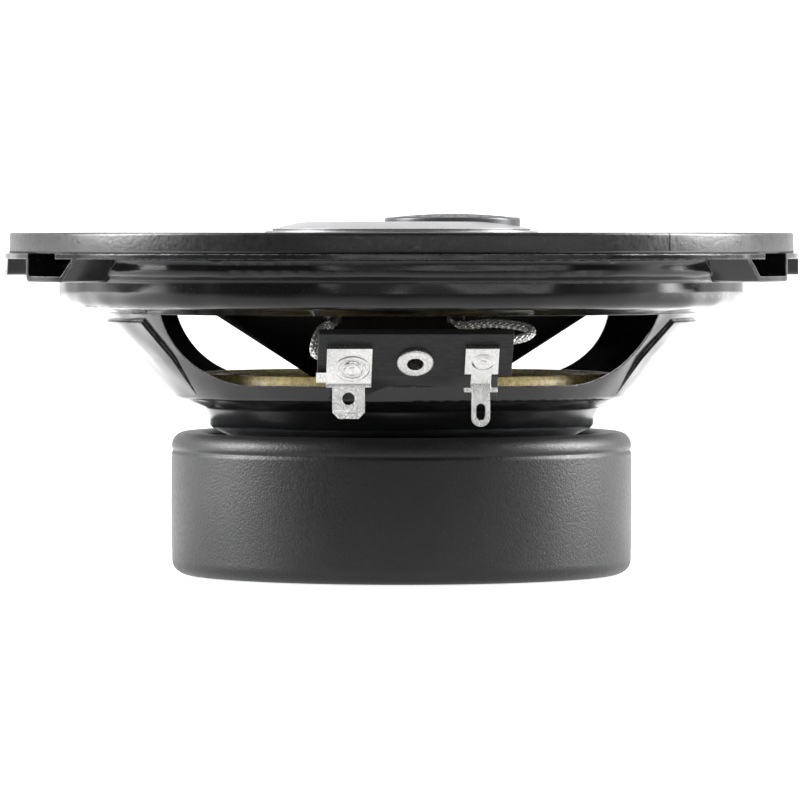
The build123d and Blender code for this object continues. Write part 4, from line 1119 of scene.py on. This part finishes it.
class SPEAKER_OT_leads(Operator):
    """Braid the leads to the cone and solder their ends, and twist the leads to the pod"""

    bl_idname = "speaker.leads"
    bl_label = "Leads"

    def execute(self, context):
        for node, corners in BRAID_ROUTES.items():
            self.braid(node, corners, context.scene.speaker_sizes)
        for node, corners in THIN_ROUTES.items():
            self.twist(node, corners, context.scene.speaker_sizes)
        return {"FINISHED"}

    def braid(self, node, corners, sizes):
        """Strands wound both ways. Strand k turns by 2 pi s over the turn length, forwards or
        backwards, from 2 pi k over the number of strands, and its distance from the middle swings
        by cos(2 n pi s / turn), out on one set where it is in on the other, so each crossing
        passes over and the next under. A plain core fills their middle."""
        route = follow_route(node, corners, 0.12 * MM)
        cut, strands, turn = route[3], sizes.braid_strands, sizes.braid_turn
        thick = sizes.braid_radius * 0.23
        centre, swing = sizes.braid_radius - thick * 1.15, thick * 0.42
        strand_sides, core_sides, flatten = 6, 10, 0.62
        grids = []
        for way in (1.0, -1.0):
            off = centre + way * swing * np.cos(FULL_TURN * strands * cut / turn)
            for k in range(strands):
                angle = FULL_TURN * (k / strands + way * cut / turn)
                grids.append(wound_strand(route, off, angle, strand_sides, thick, flatten))
        grids.append(wound_strand(route, 0.0, 0.0, core_sides, centre - thick * 0.7))
        piece = place(node.replace("tinsel", "braided"), join_tubes(node, grids, cut),
                      "braided_wire")
        piece.data.materials.append(finish("lead_core"))
        slots = np.zeros(len(piece.data.polygons), int)
        slots[-core_sides * (len(cut) - 1) - 2:] = 1
        piece.data.polygons.foreach_set("material_index", slots)
        self.solder_end(node + "_rivet_solder", route, True, "frame", 1.35)
        self.solder_end(node + "_cone_solder", route, False, "cone_assembly", 1.2)
        self.hang(piece, node, grids, cut / cut[-1])

    def twist(self, node, corners, sizes):
        """Five strands laid round each other, all one way, one turn in 3 mm."""
        strands, turn = 5, 3.0 * MM
        route = follow_route(node, corners, 0.2 * MM)
        cut, thick = route[3], sizes.thin_radius * 0.4
        grids = [wound_strand(route, sizes.thin_radius - thick,
                              FULL_TURN * (k / strands + cut / turn), 7, thick)
                 for k in range(strands)]
        piece = place(node.replace("pod", "twisted"), join_tubes(node, grids, cut),
                      "twisted_wire")
        self.hang(piece, node, grids, 1.0 - cut / cut[-1])

    def solder_end(self, name, route, first, body, size):
        """Solder round a lead's end: a drop whose radius over its length is the size times the
        square root of one less the share of length squared, uneven by a little as sin 3a and
        sin 5a."""
        middle, side, up, cut = route
        if not first:
            middle, cut = middle[::-1], (cut[-1] - cut)[::-1]
        stops = np.linspace(0.0, 0.98, 14)
        reach = 1.7 * size * MM
        centre = np.stack([np.interp(stops * reach, cut, middle[:, k]) for k in range(3)], axis=1)
        turn = angles_round(24)
        uneven = (1 + 0.07 * np.sin(3 * turn[None, :] + 4 * stops[:, None])
                  + 0.05 * np.sin(5 * turn[None, :]))
        radius = (size * MM * np.sqrt(1 - stops**2)[:, None] * uneven)[..., None]
        end = 0 if first else -1
        out = np.cos(turn)[:, None] * side[end] + np.sin(turn)[:, None] * up[end]
        points = centre[:, None] + radius * out[None]
        if not first:
            points = points[:, ::-1]
        mesh = join_parts(name, [grid_part(points, np.linspace(0, 1, 14), np.linspace(0, 1, 25),
                                           closed_along=True, caps=True)])
        drop = place(name, mesh, "solder")
        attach(drop, body)

    def hang(self, piece, node, grids, share):
        """Lay a lead's points out by its share at each cut, 0 where the frame holds it and 1 where
        the cone does, and hide the node it stands for."""
        give_way(piece, np.concatenate([np.repeat(share, grid.shape[1]) for grid in grids]))
        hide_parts(node)


class SPEAKER_OT_pod(Operator):
    """Finish the pod, its tweeters and the capacitor, and make the tweeter's edge"""

    bl_idname = "speaker.pod"
    bl_label = "Pod"

    def execute(self, context):
        coat_nodes("satin_silver", "pod_housing", "pod_cover")
        coat_nodes("capsule_black", "tweeter_housing", "super_tweeter_housing")
        coat_nodes("guard_black", "tweeter_grille")
        coat_nodes("dome_film", "tweeter_dome")
        coat_nodes("former_foil", "super_tweeter_disc")
        coat_nodes("zinc_plate", "tweeter_yoke", "tweeter_pole_plate")
        coat_nodes("fired_ferrite", "tweeter_magnet")
        coat_nodes("enamelled_winding", "tweeter_coil")
        coat_nodes("sleeved_capacitor", "crossover_capacitor")
        self.make_edge(context.scene.speaker_sizes)
        return {"FINISHED"}

    def make_edge(self, sizes):
        """The tweeter's edge: flat on the dome's flange, then a half roll whose height is the rise
        times sin(a), then flat on the capsule ring, all carried round the tweeter's axis."""
        film, step = sizes.tweeter_film, 0.15 * MM
        roll_in, roll_out = sizes.tweeter_roll_inner, sizes.tweeter_roll_outer
        low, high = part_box("tweeter_edge")
        coil_low, coil_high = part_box("tweeter_coil")
        axis, outer = (low.x + high.x) / 2, (high.x - low.x) / 2
        inner = (coil_high.x - coil_low.x) / 2
        lap, land = coil_high.z + 1.5 * film, low.z + film / 2
        rise = high.z - film / 2 - (lap + land) / 2
        angle = np.linspace(0.0, math.pi, 25)
        roll = np.stack([(roll_in + roll_out) / 2 - (roll_out - roll_in) / 2 * np.cos(angle),
                         np.linspace(lap, land, 25) + rise * np.sin(angle)], axis=1)
        outline = thick_line(np.concatenate([level_line(inner, roll_in - step, lap, 2), roll,
                                             level_line(roll_out + step, outer, land, 2)]), film)
        mesh = turn_profile("tweeter_roll", outline[::-1], 96)
        share = (roll_out - distances(mesh)) / (roll_out - roll_in)
        set_places(mesh, get_places(mesh) + (axis, 0.0, 0.0))
        piece = place("tweeter_roll", mesh, "dome_film")
        give_way(piece, share)
        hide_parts("tweeter_edge")


class SPEAKER_OT_stage(Operator):
    """Set the floor, backdrop, lamps and camera"""

    bl_idname = "speaker.stage"
    bl_label = "Stage"

    def execute(self, context):
        scene = context.scene
        stage = scene.speaker_stage
        middle = (0.0, 0.0, 0.03)
        self.lay_floor()
        self.light_room(scene, stage.room)
        self.hang_lamp("side_lamp_left", (-0.82, 0.05, 0.45), middle, (0.42, 0.74),
                       1.7 * stage.side_power)
        self.hang_lamp("side_lamp_right", (0.82, 0.08, 0.45), middle, (0.4, 0.74),
                       2.0 * stage.side_power)
        self.hang_lamp("top_lamp", (0.0, 0.1, 1.0), middle, (0.9, 0.7), stage.top_power)
        self.hang_lamp("front_card", (0.3, -1.3, 0.1), (0.0, 0.0, 0.04), (2.2, 0.13),
                       stage.front_power)
        self.set_camera(scene, stage)
        scene.view_settings.view_transform = "Standard"
        return {"FINISHED"}

    def lay_floor(self):
        """A pale sheet: flat floor, then a quarter round, then an upright backdrop. It lies a hair
        below the speaker's foot."""
        line = np.concatenate([[(-1.6, 0.0)], quarter((1.0, 0.5), 0.5, -1, 16), [(1.5, 2.2)]])
        line[:, 1] -= 0.2 * MM
        x = np.linspace(2.4, -2.4, 3)
        points = np.stack(np.broadcast_arrays(x, line[:, 0, None], line[:, 1, None]), axis=-1)
        mesh = join_parts("backdrop", [grid_part(points, np.linspace(0, 1, len(line)),
                                                 np.linspace(0, 1, 3))])
        backdrop = place("backdrop", mesh, "pale_sheet")

    def light_room(self, scene, strength):
        """The room: white to the camera, dimmer as light."""
        world = bpy.data.worlds.new("room")
        scene.world = world
        world.use_nodes = True
        room = Shader(world.node_tree)
        room.tree.nodes.clear()
        shown = room.stretch(room.add("LightPath")["Is Camera Ray"], 0.0, 1.0, strength, 1.0)
        light = room.add("Background", Color=(1.0, 1.0, 1.0, 1.0), Strength=shown)[0]
        room.feed(room.tree.nodes.new("ShaderNodeOutputWorld").inputs["Surface"], light)

    def aim(self, name, data, at, towards):
        """A lamp or camera at one point, turned towards another."""
        holder = bpy.data.objects.new(name, data)
        bpy.context.scene.collection.objects.link(holder)
        holder.location = at
        ahead = holder.location.copy()
        ahead.x, ahead.y, ahead.z = (end - start for end, start in zip(towards, at))
        holder.rotation_mode = "QUATERNION"
        holder.rotation_quaternion = ahead.to_track_quat("-Z", "Y")
        return holder

    def hang_lamp(self, name, at, towards, size, power):
        """A flat soft lamp."""
        lamp = bpy.data.lights.new(name, "AREA")
        lamp.shape = "RECTANGLE"
        lamp.size, lamp.size_y = size
        lamp.energy = power
        self.aim(name, lamp, at, towards)

    def set_camera(self, scene, stage):
        """The camera, at its distance and turn, looking at a point near the axis."""
        data = bpy.data.cameras.new("camera")
        data.lens = stage.lens
        data.sensor_width = 36.0
        data.clip_start, data.clip_end = 0.05, 20.0
        turn, away = stage.camera_turn, stage.camera_distance
        at = (-math.sin(turn) * away, -math.cos(turn) * away, stage.camera_height)
        scene.camera = self.aim("camera", data, at, (stage.look_aside, 0.0, stage.look_height))


class SPEAKER_PT_panel(Panel):
    """Speaker tools"""

    bl_idname = "SPEAKER_PT_panel"
    bl_label = "Coaxial speaker"
    bl_space_type = "VIEW_3D"
    bl_region_type = "UI"
    bl_category = "Speaker"

    def draw(self, context):
        layout = self.layout
        for group in ("speaker_sizes", "speaker_colours", "speaker_stage"):
            box = layout.box()
            settings = getattr(context.scene, group)
            for key in type(settings).__annotations__:
                box.prop(settings, key)
        for step in STEPS:
            layout.operator(step.bl_idname)


STEPS = (SPEAKER_OT_stage, SPEAKER_OT_basket, SPEAKER_OT_motor, SPEAKER_OT_cone,
         SPEAKER_OT_surround, SPEAKER_OT_spider, SPEAKER_OT_gasket, SPEAKER_OT_terminals,
         SPEAKER_OT_leads, SPEAKER_OT_pod)
CLASSES = (SpeakerSizes, SpeakerColours, SpeakerStage, *STEPS, SPEAKER_PT_panel)


def register():
    for kind in CLASSES:
        bpy.utils.register_class(kind)
    bpy.types.Scene.speaker_sizes = PointerProperty(type=SpeakerSizes)
    bpy.types.Scene.speaker_colours = PointerProperty(type=SpeakerColours)
    bpy.types.Scene.speaker_stage = PointerProperty(type=SpeakerStage)


def unregister():
    del bpy.types.Scene.speaker_stage
    del bpy.types.Scene.speaker_colours
    del bpy.types.Scene.speaker_sizes
    for kind in reversed(CLASSES):
        bpy.utils.unregister_class(kind)


def main():
    """Register the tools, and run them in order."""
    register()
    for step in STEPS:
        area, action = step.bl_idname.split(".")
        getattr(getattr(bpy.ops, area), action)()


if __name__ == "__main__":
    main()
